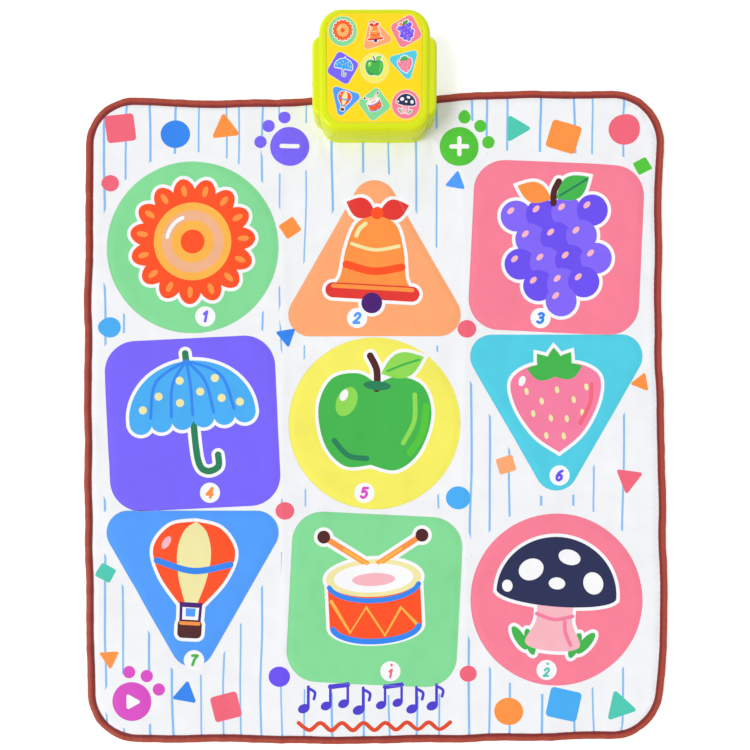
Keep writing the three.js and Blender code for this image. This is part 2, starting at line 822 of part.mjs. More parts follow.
function makeSpeakerSeat() {
  const inner = speakerRadius + seatGap;
  const top = speakerZ + speakerSeatHeight;
  const ring = post(inner + speakerSeatWall, shellFloor, top, speakerX, speakerY, roundSteps);
  const well = post(inner, shellFloor + boxWall, top + overrun, speakerX, speakerY, roundSteps);
  return cut(ring, well);
}

function makeMagnet() {
  const bottom = speakerZ + speakerFlange + speakerDepth;
  return post(magnetRadius, bottom, bottom + magnetDepth, speakerX, speakerY, roundSteps);
}

function grilleHoles() {
  const holes = [[0, 0]];
  for (let ring = 1; ring <= grilleRings; ring++) {
    const count = 6 * ring;
    for (let i = 0; i < count; i++) {
      const angle = (i * 2 * Math.PI) / count;
      const reach = ring * grilleRingPitch;
      holes.push([reach * Math.cos(angle), reach * Math.sin(angle)]);
    }
  }
  const bottom = shellFloor - overrun;
  const top = shellFloor + boxWall + overrun;
  return holes.map(([x, y]) => post(grilleHoleRadius, bottom, top, speakerX + x, speakerY + y, holeSteps));
}

// Rear shell: shallow where it lies on the mat, deep past the mat's edge, with the battery bay.
const footPlaces = [-1, 1].flatMap((side) =>
  [
    { end: "front", x: boxWidth / 2 - footFromEdge - footRadius, y: deepStartY + 2 * footRadius },
    { end: "back", x: sideScrewX - 4 * footRadius, y: farScrewY },
  ].map(({ end, x, y }) => ({ name: `foot_${side < 0 ? "left" : "right"}_${end}`, x: side * x, y })),
);

function bayBlock(margin, bottom, top) {
  const width = bayWidthX + 2 * margin;
  const length = bayLengthY + 2 * margin;
  return block(width, length, top - bottom, bayX, bayY, bottom);
}

// A locating lip that stands on the rear shell and fits inside the wall of the front shell.
function makeLip() {
  const band = (inset, bottom, top) =>
    join(rearVolume(bodyLoop, inset, bottom, top), rearVolume(earLoop, inset, bottom, top));
  const root = band(boxWall - seatGap, partingHeight - 2 * lipHeight, partingHeight - seatGap);
  const tongue = band(boxWall + seatGap, partingHeight - lipHeight, partingHeight + lipHeight);
  const inset = boxWall + seatGap + lipThickness;
  const bottom = partingHeight - 2 * lipHeight - overrun;
  const top = partingHeight + lipHeight + overrun;
  const opening = join(plate(bodyLoop, bottom, top, inset), plate(earLoop, bottom, top, inset));
  return cut(join(root, tongue), opening);
}

function makeRearShell() {
  const wall = boxWall;
  const outer = join(
    rearVolume(bodyLoop, 0, shellFloor, partingHeight - seatGap),
    rearVolume(earLoop, 0, shellFloor, partingHeight - seatGap),
  );
  const overMat = block(
    boxWidth + 4 * earReach,
    2 * boxLength,
    shellOverMat + overrun,
    0,
    matTopY + seatGap - boxLength,
    -overrun,
  );
  const hollow = join(
    rearVolume(bodyLoop, wall, shellOverMat + wall, partingHeight + overrun),
    rearVolume(earLoop, wall, shellOverMat + wall, partingHeight + overrun),
  );
  const deepFloor = shellFloor + wall;
  const deepBlock = block(2 * boxWidth, boxLength, partingHeight, 0, deepStartY + boxLength / 2, deepFloor);
  const deepHollow = geometryOf(
    solidOf(join(
      rearVolume(bodyLoop, wall, deepFloor, partingHeight),
      rearVolume(earLoop, wall, deepFloor, partingHeight),
    )).intersect(solidOf(deepBlock)),
  );
  const tray = cut(outer, overMat, hollow, deepHollow);
  const bayOuter = bayBlock(bayWall, shellFloor, bayTop + bayWall);
  const bayInner = bayBlock(0, -overrun, bayTop);
  const doorBoss = post(postRadius, shellFloor, postTop, bayX, doorScrewY);
  const tabSeat = post(doorTabRadius + seatGap, -overrun, doorTop + seatGap, bayX, doorScrewY);
  const tabHole = post(screwHole, -overrun, postTop - boxWall, bayX, doorScrewY);
  const pins = block(
    bayWidthX + 2 * (doorPinLength + seatGap),
    2 * (doorPinRadius + seatGap),
    2 * (doorPinRadius + seatGap),
    bayX,
    doorAxisY,
    doorAxisZ - doorPinRadius - seatGap,
  );
  const nearPosts = clampScrews.map((s) => post(postRadius, shellOverMat, postTop, s.x, s.y));
  const farPosts = shellScrews.map((s) => post(postRadius + postWall, shellFloor, postTop, s.x, s.y));
  const screwWells = shellScrews.flatMap((s) => [
    post(screwHead + screwHoleGap, -overrun, shellFloor + wall + screwHeadHeight, s.x, s.y),
    post(screwHole, -overrun, postTop + overrun, s.x, s.y),
  ]);
  const nearHoles = clampScrews.map((s) => post(screwHole, -overrun, postTop + overrun, s.x, s.y));
  const footWells = footPlaces.map((f) =>
    post(footRadius + seatGap, -overrun, shellFloor + footRecess, f.x, f.y),
  );
  const slit = block(slitWidth, slitDepth, partingHeight, 0, ribbonY, 0);
  const solid = join(tray, bayOuter, doorBoss, makeSpeakerSeat(), makeLip(), ...nearPosts, ...farPosts);
  const doorCuts = [bayInner, tabSeat, tabHole, pins];
  return cut(solid, ...doorCuts, ...screwWells, ...nearHoles, ...footWells, slit, ...grilleHoles());
}

// The door turns on two pins in its round near edge, and a captive screw in its tab holds it shut.
function makeDoor() {
  const width = bayWidthX - 2 * seatGap;
  const nearRound = doorThickness / 2;
  const farY = bayY + bayLengthY / 2 - seatGap;
  const length = farY - doorAxisY;
  const sheet = block(width, length, doorThickness, bayX, doorAxisY + length / 2, shellFloor);
  const rod = (radius, span) => {
    const geometry = post(radius, -span / 2, span / 2, 0, 0).rotateY(Math.PI / 2);
    return geometry.translate(bayX, doorAxisY, doorAxisZ);
  };
  const tab = post(doorTabRadius, shellFloor, doorTop, bayX, doorScrewY);
  const seatRadius = screwHead + screwHoleGap;
  const screwSeat = post(seatRadius, -overrun, shellFloor + clampHeadHeight, bayX, doorScrewY);
  const screwWay = post(screwHole, -overrun, doorTop + overrun, bayX, doorScrewY);
  const gripLength = bayLengthY / 3;
  const grips = Array.from({ length: gripCount }, (_, i) => {
    const x = bayX + (i - (gripCount - 1) / 2) * gripPitch;
    return block(gripWidth, gripLength, 2 * gripDepth, x, bayY, shellFloor - gripDepth);
  });
  const door = join(sheet, rod(nearRound, width), rod(doorPinRadius, width + 2 * doorPinLength), tab);
  return cut(door, screwSeat, screwWay, ...grips);
}

// Cells, their contacts and springs. Neighbouring cells lie head to tail.
function cellProfile() {
  return [
    [0, 0],
    [cellRadius, 0],
    [cellRadius, cellLength],
    [cellTipRadius, cellLength],
    [cellTipRadius, cellLength + cellTipLength],
    [0, cellLength + cellTipLength],
  ];
}

const cells = Array.from({ length: cellCount }, (_, i) => ({
  name: `cell_${i + 1}`,
  spring: `contact_spring_${i + 1}`,
  contact: `contact_plate_${i + 1}`,
  heading: i % 2 === 0 ? 1 : -1,
  y: bayY + (i - (cellCount - 1) / 2) * cellPitch,
}));

const contactFaceX = bayWidthX / 2 - seatGap - contactThickness;
const contactSide = 2 * cellRadius - bayMargin;

function makeCell(cell) {
  const tail = springLength - contactFaceX;
  const geometry = turned(cellProfile()).rotateY(Math.PI / 2).translate(tail, 0, 0);
  return geometry.rotateZ(cell.heading > 0 ? 0 : Math.PI).translate(bayX, cell.y, cellZ);
}

function makeSpring(cell) {
  const turns = 3;
  const stepsPerTurn = smallSteps / 2;
  const count = turns * stepsPerTurn;
  const rise = springLength - springWire / 2 - seatGap;
  const points = Array.from({ length: count + 1 }, (_, i) => {
    const angle = (i * 2 * Math.PI) / stepsPerTurn;
    const height = (rise * i) / count;
    return new THREE.Vector3(springRadius * Math.cos(angle), springRadius * Math.sin(angle), height);
  });
  const path = new THREE.CatmullRomCurve3(points);
  const outline = circleLoop(springWire / 2, wireSides);
  const section = new THREE.Shape(outline.map((p) => new THREE.Vector2(p.x, p.y)));
  const wire = new THREE.ExtrudeGeometry(section, { steps: count, extrudePath: path, bevelEnabled: false });
  wire.rotateY(Math.PI / 2).translate(-contactFaceX, 0, 0);
  const plateX = -contactFaceX - contactThickness / 2;
  const backplate = block(contactThickness, contactSide, contactSide, plateX, 0, -contactSide / 2);
  const spring = join(wire, backplate);
  return spring.rotateZ(cell.heading > 0 ? 0 : Math.PI).translate(bayX, cell.y, cellZ);
}

function makeContact(cell) {
  const x = bayX + cell.heading * (contactFaceX + contactThickness / 2);
  return block(contactThickness, contactSide, contactSide, x, cell.y, cellZ - contactSide / 2);
}

// Fasteners, feet, clamp plate and ribbon.
function makeScrew(x, y, headBottom, headHeight, tip) {
  const length = tip - headBottom;
  const slot = headHeight / 2;
  const profile = [
    [0, 0],
    [screwHead - slot / 2, 0],
    [screwHead, slot],
    [screwHead, headHeight],
    [screwShank, headHeight],
    [screwShank, length - screwShank],
    [0, length],
  ];
  const body = turned(profile);
  const cross = [0, Math.PI / 2].map((turn) =>
    block(screwSlotLength, slot / 2, 2 * slot, 0, 0, -slot).rotateZ(turn),
  );
  return cut(body, ...cross).translate(x, y, headBottom);
}

function makeDoorScrew() {
  return makeScrew(bayX, doorScrewY, shellFloor, clampHeadHeight, doorTop + doorScrewBite);
}

function makeClampPlate() {
  const loop = placedLoop(rectangleLoop(clampPlateWidth, clampPlateDepth, boxWall, 2), 0, nearScrewY);
  const top = clampPlateZ + clampPlateThickness;
  const sheet = plate(loop, clampPlateZ, top);
  const seats = clampScrews.map((s) =>
    post(screwHead + screwHoleGap, -overrun, clampPlateZ + clampHeadHeight, s.x, s.y),
  );
  return cut(sheet, ...seats, ...clampHoles(clampPlateZ, top));
}

function makeRibbon() {
  const socketTop = faceAt(boardTopDepth + boardThickness)(ribbonY);
  const top = socketTop - overrun - seatGap;
  return block(ribbonWidth, ribbonThickness, top - ribbonBottom, 0, ribbonY, ribbonBottom);
}

function makeFoot(foot) {
  return post(footRadius, 0, shellFloor + footRecess, foot.x, foot.y);
}

// Assembly.
addPiece("top_quilt", makeQuilt(), "quilt");
addPiece("upper_contact_film", makeFilm(upperFilmZ), "film");
addPiece("spacer_foam", makeSpacer(), "spacer");
addPiece("lower_contact_film", makeLowerFilm(), "film");
addPiece("backing_fabric", makeBacking(), "backing");
addPiece("edge_binding", makeBinding(), "binding");
for (const pad of pads) {
  addPiece(pad.name, makePad(pad.loop), pad.ink);
}
addPiece("front_shell", makeFrontShell(), "shell");
addPiece("rear_shell", makeRearShell(), "shell");
addPiece("face_panel", makePanel(), "panel");
addPiece("light_grid", makeGrid(), "grid");
addPiece("main_board", makeBoard(), "board");
eachWell((x, y) => [x, y]).forEach(([x, y], i) => {
  addPiece(`lamp_${i + 1}`, makeLamp(x, y), "lamp");
});
addPiece("speaker_frame", makeSpeakerFrame(), "steel");
addPiece("speaker_cone", makeSpeakerCone(), "cone");
addPiece("speaker_magnet", makeMagnet(), "magnet");
for (const cell of cells) {
  addPiece(cell.name, makeCell(cell), "cell");
  addPiece(cell.spring, makeSpring(cell), "steel");
  addPiece(cell.contact, makeContact(cell), "steel");
}
addPiece("battery_door", makeDoor(), "shell");
addPiece("power_slider", makeSlider(), "knob");
addPiece("switch_body", makeSwitchBody(), "knob");
addPiece("film_ribbon", makeRibbon(), "ribbon");
addPiece("mat_clamp_plate", makeClampPlate(), "steel");
for (const s of clampScrews) {
  const tip = s.reachesFrontShell ? postTop + seatGap + screwBite : postTop;
  addPiece(s.name, makeScrew(s.x, s.y, clampPlateZ, clampHeadHeight, tip), "steel");
}
for (const s of shellScrews) {
  const tip = postTop + seatGap + screwBite;
  addPiece(s.name, makeScrew(s.x, s.y, shellFloor + boxWall, screwHeadHeight, tip), "steel");
}
addPiece("battery_door_screw", makeDoorScrew(), "steel");
for (const foot of footPlaces) {
  addPiece(foot.name, makeFoot(foot), "rubber");
}

export default part;
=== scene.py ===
# %% [markdown]
# # A musical dance mat, dressed around its CAD frame
# The mat is a thin sandwich of cloth, film and foam with a folded tape sewn round it. Nine
# panels are printed where the contacts lie, and a plastic box with a loudspeaker, nine lamps
# and three cells is clamped over the far edge. The CAD frame holds every size and every moving
# piece, so this file only gives each piece its real surface: printed cloth, sewn tape, glossy
# moulded plastic, steel, rubber and foam.

# %% Load the frame
import math
import random

import bmesh
import bpy
import numpy as np
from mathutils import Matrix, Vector
from mathutils.geometry import delaunay_2d_cdt


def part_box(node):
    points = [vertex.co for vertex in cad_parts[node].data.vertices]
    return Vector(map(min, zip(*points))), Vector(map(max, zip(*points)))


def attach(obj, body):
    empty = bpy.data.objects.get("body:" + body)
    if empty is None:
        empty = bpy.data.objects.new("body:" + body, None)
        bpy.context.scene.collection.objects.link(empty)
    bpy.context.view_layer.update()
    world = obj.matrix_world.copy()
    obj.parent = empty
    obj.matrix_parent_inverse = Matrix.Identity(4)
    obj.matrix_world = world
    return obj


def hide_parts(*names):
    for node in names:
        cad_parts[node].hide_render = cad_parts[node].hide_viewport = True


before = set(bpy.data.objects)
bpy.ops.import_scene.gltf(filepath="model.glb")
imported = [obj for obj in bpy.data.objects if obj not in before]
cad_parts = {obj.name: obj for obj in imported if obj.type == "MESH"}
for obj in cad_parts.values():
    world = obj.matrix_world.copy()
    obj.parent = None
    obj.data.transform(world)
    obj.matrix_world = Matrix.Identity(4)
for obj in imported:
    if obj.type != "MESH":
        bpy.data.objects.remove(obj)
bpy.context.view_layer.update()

MM = 0.001
TAU = 2 * math.pi
MAT_BODY = "mat_and_box"

# %% [markdown]
# ## Camera
# A mat is photographed from a stand straight above it. The height of the stand shows in how
# much the walls of the box open up: here one near wall of the box can just be seen, which a
# lens looking straight down from about 0.8 metres gives when its picture is shifted a little
# towards the box. The width of the view follows from how many pixels one metre of mat takes,
# and the middle of the view from where the middle of the mat falls in the picture.

# %% Place the camera
PICTURE_SIDE = 750
PIXELS_PER_METRE = 718.5
MAT_CENTRE_PIXEL = (374.5, 420.0)
CAMERA_HEIGHT = 0.8
VIEW_SHIFT = 0.1
SENSOR_WIDTH = 36


def link_object(name, data):
    """A new object for a mesh, a lamp or a camera, linked to the scene."""
    made = bpy.data.objects.new(name, data)
    bpy.context.scene.collection.objects.link(made)
    return made


cloth_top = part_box("top_quilt")[1].z
view_width = PICTURE_SIDE / PIXELS_PER_METRE
mat_middle = sum(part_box("edge_binding"), Vector((0, 0, 0))) / 2
view_x = mat_middle.x + (PICTURE_SIDE / 2 - MAT_CENTRE_PIXEL[0]) / PIXELS_PER_METRE
view_y = mat_middle.y + (MAT_CENTRE_PIXEL[1] - PICTURE_SIDE / 2) / PIXELS_PER_METRE
camera_data = bpy.data.cameras.new("overhead_camera")
camera_data.sensor_width = SENSOR_WIDTH
camera_data.lens = SENSOR_WIDTH * CAMERA_HEIGHT / view_width
camera_data.shift_y = VIEW_SHIFT
camera = link_object("overhead_camera", camera_data)
camera.location = (view_x, view_y - VIEW_SHIFT * view_width, cloth_top + CAMERA_HEIGHT)
bpy.context.scene.camera = camera
print("lens:", round(camera_data.lens, 2), "mm, view width:", round(view_width, 3), "m")

# %% [markdown]
# ## Helpers for nodes and colours
# Colours are written as the sRGB hex values a designer would pick, and one function turns them
# into the linear numbers that Cycles works with. One small function adds a node, sets its own
# properties and either links its inputs or gives them a value. Both material trees and
# geometry trees are built with it.

# %% Colour and node helpers
def linear(hex_colour):
    """An sRGB hex colour as linear red, green, blue and alpha."""
    parts = [int(hex_colour[i:i + 2], 16) / 255 for i in (0, 2, 4)]
    return [p / 12.92 if p <= 0.04045 else ((p + 0.055) / 1.055) ** 2.4 for p in parts] + [1.0]


def add_node(tree, kind, inputs=None, **settings):
    """Adds one node; inputs are values or the sockets that feed it, settings its own properties."""
    node = tree.nodes.new(kind)
    for name, value in settings.items():
        setattr(node, name, value)
    for name, value in (inputs or {}).items():
        if isinstance(value, bpy.types.NodeSocket):
            tree.links.new(value, node.inputs[name])
        else:
            node.inputs[name].default_value = value
    return node


def start_material(name, **constants):
    """A material with one Principled shader, whose sockets take the constants by name."""
    material = bpy.data.materials.new(name)
    material.use_nodes = True
    tree = material.node_tree
    shader = tree.nodes["Principled BSDF"]
    for socket, value in constants.items():
        shader.inputs[socket.replace("_", " ")].default_value = value
    return material, tree, shader


print("white cloth in linear light:", [round(c, 3) for c in linear("f4f5f8")])

# %% [markdown]
# ## Floor, world and lamps
# The picture has a pure white ground. The floor is a pale matt paint that gets a little extra
# white where the camera, a gloss or a glass looks at it, so it reads white but keeps the soft
# shadow of the mat. The light is an even sky plus one very wide sun from the left, a little
# towards the near side. A sun lights all of a large flat mat alike, which a softbox close to
# it doesn't, and its low side light is what lets shallow wrinkles show on white cloth.

# %% Build the floor and the light
FLOOR_HALF = 6.0
SKY_STRENGTH = 0.63
KEY_STRENGTH = 1.7
KEY_SPREAD = math.radians(34)
KEY_FROM = (-1.25, -0.45, 1.25)
FLOOR_GLOW = 0.4


def seen_directly(tree):
    """A socket that is 1 for rays from the camera, from a gloss or through a glass."""
    path = add_node(tree, "ShaderNodeLightPath")
    shiny = add_node(tree, "ShaderNodeMath",
                     {0: path.outputs["Is Camera Ray"], 1: path.outputs["Is Glossy Ray"]}, operation="ADD")
    both = add_node(tree, "ShaderNodeMath",
                    {0: shiny.outputs[0], 1: path.outputs["Is Transmission Ray"]},
                    operation="ADD", use_clamp=True)
    return both.outputs[0]


def make_floor():
    mesh = bpy.data.meshes.new("studio_floor")
    corners = [(-FLOOR_HALF, -FLOOR_HALF, 0), (FLOOR_HALF, -FLOOR_HALF, 0),
               (FLOOR_HALF, FLOOR_HALF, 0), (-FLOOR_HALF, FLOOR_HALF, 0)]
    mesh.from_pydata(corners, [], [(0, 1, 2, 3)])
    material, tree, shader = start_material("matt_white_paint", Roughness=1.0, Specular_IOR_Level=0.0)
    shader.inputs["Base Color"].default_value = linear("f2f2f2")
    glow = add_node(tree, "ShaderNodeMath", {0: seen_directly(tree), 1: FLOOR_GLOW}, operation="MULTIPLY")
    shader.inputs["Emission Color"].default_value = (1, 1, 1, 1)
    tree.links.new(glow.outputs[0], shader.inputs["Emission Strength"])
    mesh.materials.append(material)
    link_object("studio_floor", mesh)


def make_world():
    world = bpy.data.worlds.new("soft_sky")
    world.use_nodes = True
    tree = world.node_tree
    sky = tree.nodes["Background"]
    sky.inputs["Color"].default_value = (1, 1, 1, 1)
    strength = add_node(tree, "ShaderNodeMapRange",
                        {"Value": seen_directly(tree), "To Min": SKY_STRENGTH, "To Max": 1.0})
    tree.links.new(strength.outputs["Result"], sky.inputs["Strength"])
    bpy.context.scene.world = world


def make_key_lamp():
    data = bpy.data.lights.new("wide_sun", "SUN")
    data.angle = KEY_SPREAD
    data.energy = KEY_STRENGTH
    lamp = link_object("wide_sun", data)
    lamp.location = KEY_FROM
    lamp.rotation_euler = (-Vector(KEY_FROM)).to_track_quat("-Z", "Y").to_euler()


make_floor()
make_world()
make_key_lamp()
bpy.context.scene.view_settings.view_transform = "Standard"

# %% [markdown]
# ## Outlines in plan
# Everything printed on the mat starts as a closed outline in millimetres: discs, rounded
# polygons, leaves and pen strokes. A curved edge gets just enough points to stay within a
# twentieth of a millimetre of the true curve, so a large disc has many and a small dot few.

# %% Outline helpers
curve_error = 0.05


def arc(x, y, radius, start, sweep):
    """Points along an arc, ends included."""
    step = 2 * math.sqrt(2 * curve_error / max(radius, 4 * curve_error))
    count = max(2, math.ceil(abs(sweep) / step))
    angles = [start + sweep * i / count for i in range(count + 1)]
    return [(x + radius * math.cos(a), y + radius * math.sin(a)) for a in angles]


def circle(x, y, radius):
    return arc(x, y, radius, 0, TAU)[:-1]


def placed(points, x=0.0, y=0.0, turn=0.0, size=1.0, wide=1.0):
    """The outline scaled, turned about the origin and moved."""
    c, s = math.cos(turn), math.sin(turn)
    return [(x + size * (px * wide * c - py * s), y + size * (px * wide * s + py * c)) for px, py in points]


def rounded(corners, radius):
    """A convex polygon, counter-clockwise, with every corner rounded to the radius."""
    outline = []
    count = len(corners)
    for i, corner in enumerate(corners):
        before, at, after = (Vector(corners[(i + k) % count]) for k in (-1, 0, 1))
        come = (at - before).normalized()
        go = (after - at).normalized()
        turn = math.atan2(come.x * go.y - come.y * go.x, come.dot(go))
        inward = (go - come).normalized()
        centre = at + inward * radius / math.cos(turn / 2)
        outline += arc(centre.x, centre.y, radius, math.atan2(-come.x, come.y), turn)
    return outline


def block(width, height, radius):
    """A rounded rectangle about the origin."""
    w, h = width / 2, height / 2
    return rounded([(-w, -h), (w, -h), (w, h), (-w, h)], radius)


print("points on a 119 mm disc:", len(circle(0, 0, 119)), "and on a 13 mm dot:", len(circle(0, 0, 13)))


# %% Margins and pen strokes
def grown(outline, margin):
    """The outline moved outwards by a margin along its own corner normals."""
    moved = []
    count = len(outline)
    for i in range(count):
        before, at, after = (Vector(outline[(i + k) % count]) for k in (-1, 0, 1))
        if (at - before).length < 1e-6 or (after - at).length < 1e-6:
            continue
        come, go = (at - before).normalized(), (after - at).normalized()
        normal = Vector((come.y + go.y, -come.x - go.x)).normalized()
        reach = margin / max(0.6, normal.dot(Vector((come.y, -come.x))))
        moved.append(tuple(at + normal * reach))
    return moved


def stroke(points, width):
    """A pen stroke along the points, with round ends."""
    line = [Vector(p) for p in points]
    beside = zip(line[:1] + line, line[1:] + line[-1:])
    heads = [(after - before).normalized() for before, after in beside]
    half = width / 2
    right = [(p.x + h.y * half, p.y - h.x * half) for p, h in zip(line, heads)]
    left = [(p.x - h.y * half, p.y + h.x * half) for p, h in zip(line, heads)]
    first, last = (math.atan2(head.y, head.x) for head in (heads[0], heads[-1]))
    end_cap = arc(*line[-1], half, last - math.pi / 2, math.pi)[1:-1]
    start_cap = arc(*line[0], half, first + math.pi / 2, math.pi)[1:-1]
    return right + end_cap + left[::-1] + start_cap


print("points on a pen stroke:", len(stroke([(0, 0), (9, 0)], 3)))

# %% [markdown]
# ## The nine motifs
# Each panel carries one large picture in flat inks, cut out like a sticker with a white rim.
# A motif is two lists of outlines with their inks: bodies, which get the white rim, and
# details printed on top of them. They are drawn about the origin in millimetres at the size
# of a floor panel, and the small symbols on the box are the same drawings, scaled down.

# %% Small shapes for the motifs
INKS = {
    "cloth": "f4f5f8", "rim": "fbfbfd", "stripe": "85bff8", "mint": "84dd98", "peach": "ffa972",
    "pink": "fa8098", "violet": "7864fd", "lemon": "f8f060", "aqua": "4fcfe6", "sky": "4d9dfd",
    "flame": "ff4f18", "orange": "ff9440", "amber": "ffb648", "coral": "f4667c", "teal": "4ccab4",
    "leaf": "3fb54a", "lime": "8fdb52", "forest": "1f7d55", "plum": "45106e", "cocoa": "4a1518",
    "navy": "20264f", "rose": "f77fa4", "blush": "fbb9c4", "cream": "f3eaa8", "skin": "f2b58c",
    "blue": "2f86f2", "light_blue": "45aef6", "purple": "6a4df2", "red": "e4322c", "grape": "8266fa",
    "green": "52c636", "magenta": "dc4cc6", "ink_blue": "4b3bd0", "ink_red": "e2471f", "yellow": "ffdd00",
}


def ellipse(x, y, rx, ry, turn=0.0):
    return placed(placed(circle(0, 0, ry), wide=rx / ry), x, y, turn)


def leaf(length, width, turn=0.0, x=0.0, y=0.0):
    """A pointed leaf from the origin along x."""
    steps = 10
    side = [(length * i / steps, width / 2 * math.sin(math.pi * i / steps)) for i in range(steps + 1)]
    return placed([(px, -py) for px, py in side] + side[-2:0:-1], x, y, turn)


def half_disc(x, y, radius, squeeze=1.0):
    """The upper half of a disc, squeezed to a lower dome."""
    return [(px, y + (py - y) * squeeze) for px, py in arc(x, y, radius, 0, math.pi)]


def curve(points, steps=8):
    """A smooth line through the points, for pen strokes: a Catmull-Rom spline."""
    knots = [points[0], *points, points[-1]]
    line = []
    for a, b, c, d in zip(knots, knots[1:], knots[2:], knots[3:]):
        for i in range(steps):
            t = i / steps
            line.append(tuple(0.5 * (2 * q + (r - p) * t + (2 * p - 5 * q + 4 * r - s) * t ** 2
                                     + (3 * q - p - 3 * r + s) * t ** 3) for p, q, r, s in zip(a, b, c, d)))
    return line + [tuple(points[-1])]


def mirrored(side):
    """A closed outline from its right side, given from the top down."""
    return side[::-1] + [(-x, y) for x, y in side if x > 0]


# %% Marks: an outline with its ink
def dot(ink, x, y, radius):
    return circle(x, y, radius), ink


def oval(ink, x, y, rx, ry, turn=0.0):
    return ellipse(x, y, rx, ry, turn), ink


def bar(ink, x, y, width, height):
    """A level bar with round ends."""
    return placed(block(width, height, height / 2), x, y), ink


def blade(ink, length, width, turn, x, y):
    return leaf(length, width, turn, x, y), ink


def line(ink, width, *points):
    """A pen line with straight parts."""
    return stroke(points, width), ink


def bend(ink, width, *points):
    """A smooth pen line through the points."""
    return stroke(curve(points), width), ink


# %% Draw the sun, the bell and the grapes
def sun():
    turns = [TAU * i / 15 for i in range(15)]
    bodies = [oval("flame", 64 * math.cos(t), 64 * math.sin(t), 25, 16.5, t) for t in turns]
    bodies.append(dot("flame", 0, 0, 68))
    details = [oval("orange", 72 * math.cos(t), 72 * math.sin(t), 8, 4, t) for t in turns]
    details += [dot("amber", 0, 0, 55), dot("skin", 0, 0, 44), dot("amber", 0, 0, 30)]
    details += [line("rim", 5, *arc(0, 0, 36.5, 1.9, 1.0)), dot("flame", 0, 0, 17)]
    return bodies, details


def bell():
    left = curve([(-62, -48), (-48, -30), (-42, 10), (-30, 46), (-8, 62)])
    bodies = [([(-x, y) for x, y in left] + left[::-1], "orange"), bar("red", 0, -50, 136, 22),
              dot("plum", 0, -66, 15), blade("red", 46, 30, 0.35, 2, 62),
              blade("red", 46, 30, math.pi - 0.35, -2, 62), dot("flame", 0, 64, 9)]
    details = [bend("flame", 11, (-40, -12), (0, -20), (40, -12)),
               bend("cream", 5, (-34, 18), (0, 11), (34, 18)),
               bend("cream", 6, (-28, 30), (-24, 40), (-16, 48)), bar("orange", 0, -44, 120, 6)]
    return bodies, details


def grapes():
    rows = [(42, (-54, -18, 18, 54)), (8, (-36, 0, 36)), (-26, (-54, -18, 18, 54)), (-58, (-30, 4, 34)),
            (-82, (0,))]
    spots = [(x, y) for y, xs in rows for x in xs]
    bodies = [dot("purple" if i % 2 else "grape", x, y, 22) for i, (x, y) in enumerate(spots)]
    bodies += [blade("leaf", 56, 34, 0.5, 4, 62), blade("orange", 52, 30, math.pi - 0.45, -2, 62),
               bend("cocoa", 9, (0, 56), (2, 72), (10, 86))]
    details = [oval("blush", x - 7, y + 8, 6, 3.6, 0.7) for x, y in spots]
    details.append(bend("forest", 3, (10, 66), (30, 76), (50, 86)))
    return bodies, details


# %% Draw the umbrella, the apple and the strawberry
def umbrella():
    bodies = [bend("forest", 9, (0, 84), (0, 0), (0, -62), (10, -78), (26, -74), (28, -58)),
              (half_disc(0, -2, 86, 0.88), "light_blue")]
    bodies += [dot("light_blue", x, -4, 15) for x in (-71, -43, -14.5, 14.5, 43, 71)]
    ribs = [(-22, 44, -29, 0), (22, 44, 29, 0), (-44, 50, -57, 2), (44, 50, 57, 2), (2, 40, 0, 0)]
    details = [bend("blue", 4, (0, 74), (bx, by), (ex, ey)) for bx, by, ex, ey in ribs]
    spots = [(-66, 14), (-43, 30), (-15, 18), (-12, 48), (14, 30), (42, 18), (36, 46), (66, 10)]
    return bodies, details + [dot("cream", x, y, 5.5) for x, y in spots]


def apple():
    side = curve([(0, 44), (26, 56), (60, 46), (74, 8), (62, -40), (34, -66), (0, -62)])
    bodies = [(mirrored(side), "leaf"), blade("lime", 60, 34, 0.45, 4, 58),
              bend("cocoa", 9, (0, 38), (-2, 62), (-12, 80))]
    details = [bend("green", 9, (66, 20), (64, -14), (50, -42)),
               bend("lime", 6, (50, 34), (52, 0), (40, -30)),
               bend("forest", 7, (-50, -34), (-30, -52), (-6, -54)), oval("lime", -38, 18, 13, 20, -0.35),
               oval("rim", -42, 26, 5, 8, -0.35), oval("forest", 0, 42, 18, 6),
               bend("leaf", 3, (12, 62), (32, 72), (52, 80))]
    return bodies, details


def strawberry():
    side = curve([(0, 48), (34, 56), (66, 36), (62, -4), (36, -48), (0, -76)])
    bodies = [(mirrored(side), "rose")]
    bodies += [blade("leaf", 44, 24, math.pi / 2 + k * 0.62, 0, 38) for k in (-2, -1, 0, 1, 2)]
    seeds = [(-44, 18), (-22, 2), (2, 18), (26, 2), (46, 20), (-36, -16), (-10, -24), (14, -26), (38, -18),
             (-18, -50), (8, -52)]
    details = [oval("cream", x, y, 3.2, 5.4, 0.12) for x, y in seeds]
    details += [bend("coral", 6, (54, 24), (50, -4), (34, -34)), oval("rim", -50, 34, 5, 8, -0.4)]
    return bodies, details


# %% Draw the balloon, the drum and the mushroom
def balloon():
    half = curve([(0, 84), (36, 76), (58, 44), (46, 4), (16, -34)])
    inner = curve([(0, 84), (16, 70), (24, 40), (20, 4), (8, -34)])
    bodies = [(mirrored(half), "flame"), (placed(block(34, 26, 7), 0, -68), "cocoa"),
              line("plum", 4, (-14, -32), (-13, -58)), line("plum", 4, (14, -32), (13, -58))]
    details = [(mirrored(inner), "cream"), bar("orange", 0, -60, 30, 5),
               bend("blue", 9, (-52, 26), (0, 14), (52, 26)), oval("blush", -40, 52, 5, 10, -0.5),
               bar("plum", 0, -34, 28, 7)]
    return bodies, details


def lowered(points, y, squeeze):
    """An arc about the origin, pressed flat and moved to a height: a hoop seen at a slant."""
    return [(px, y + py * squeeze) for px, py in points]


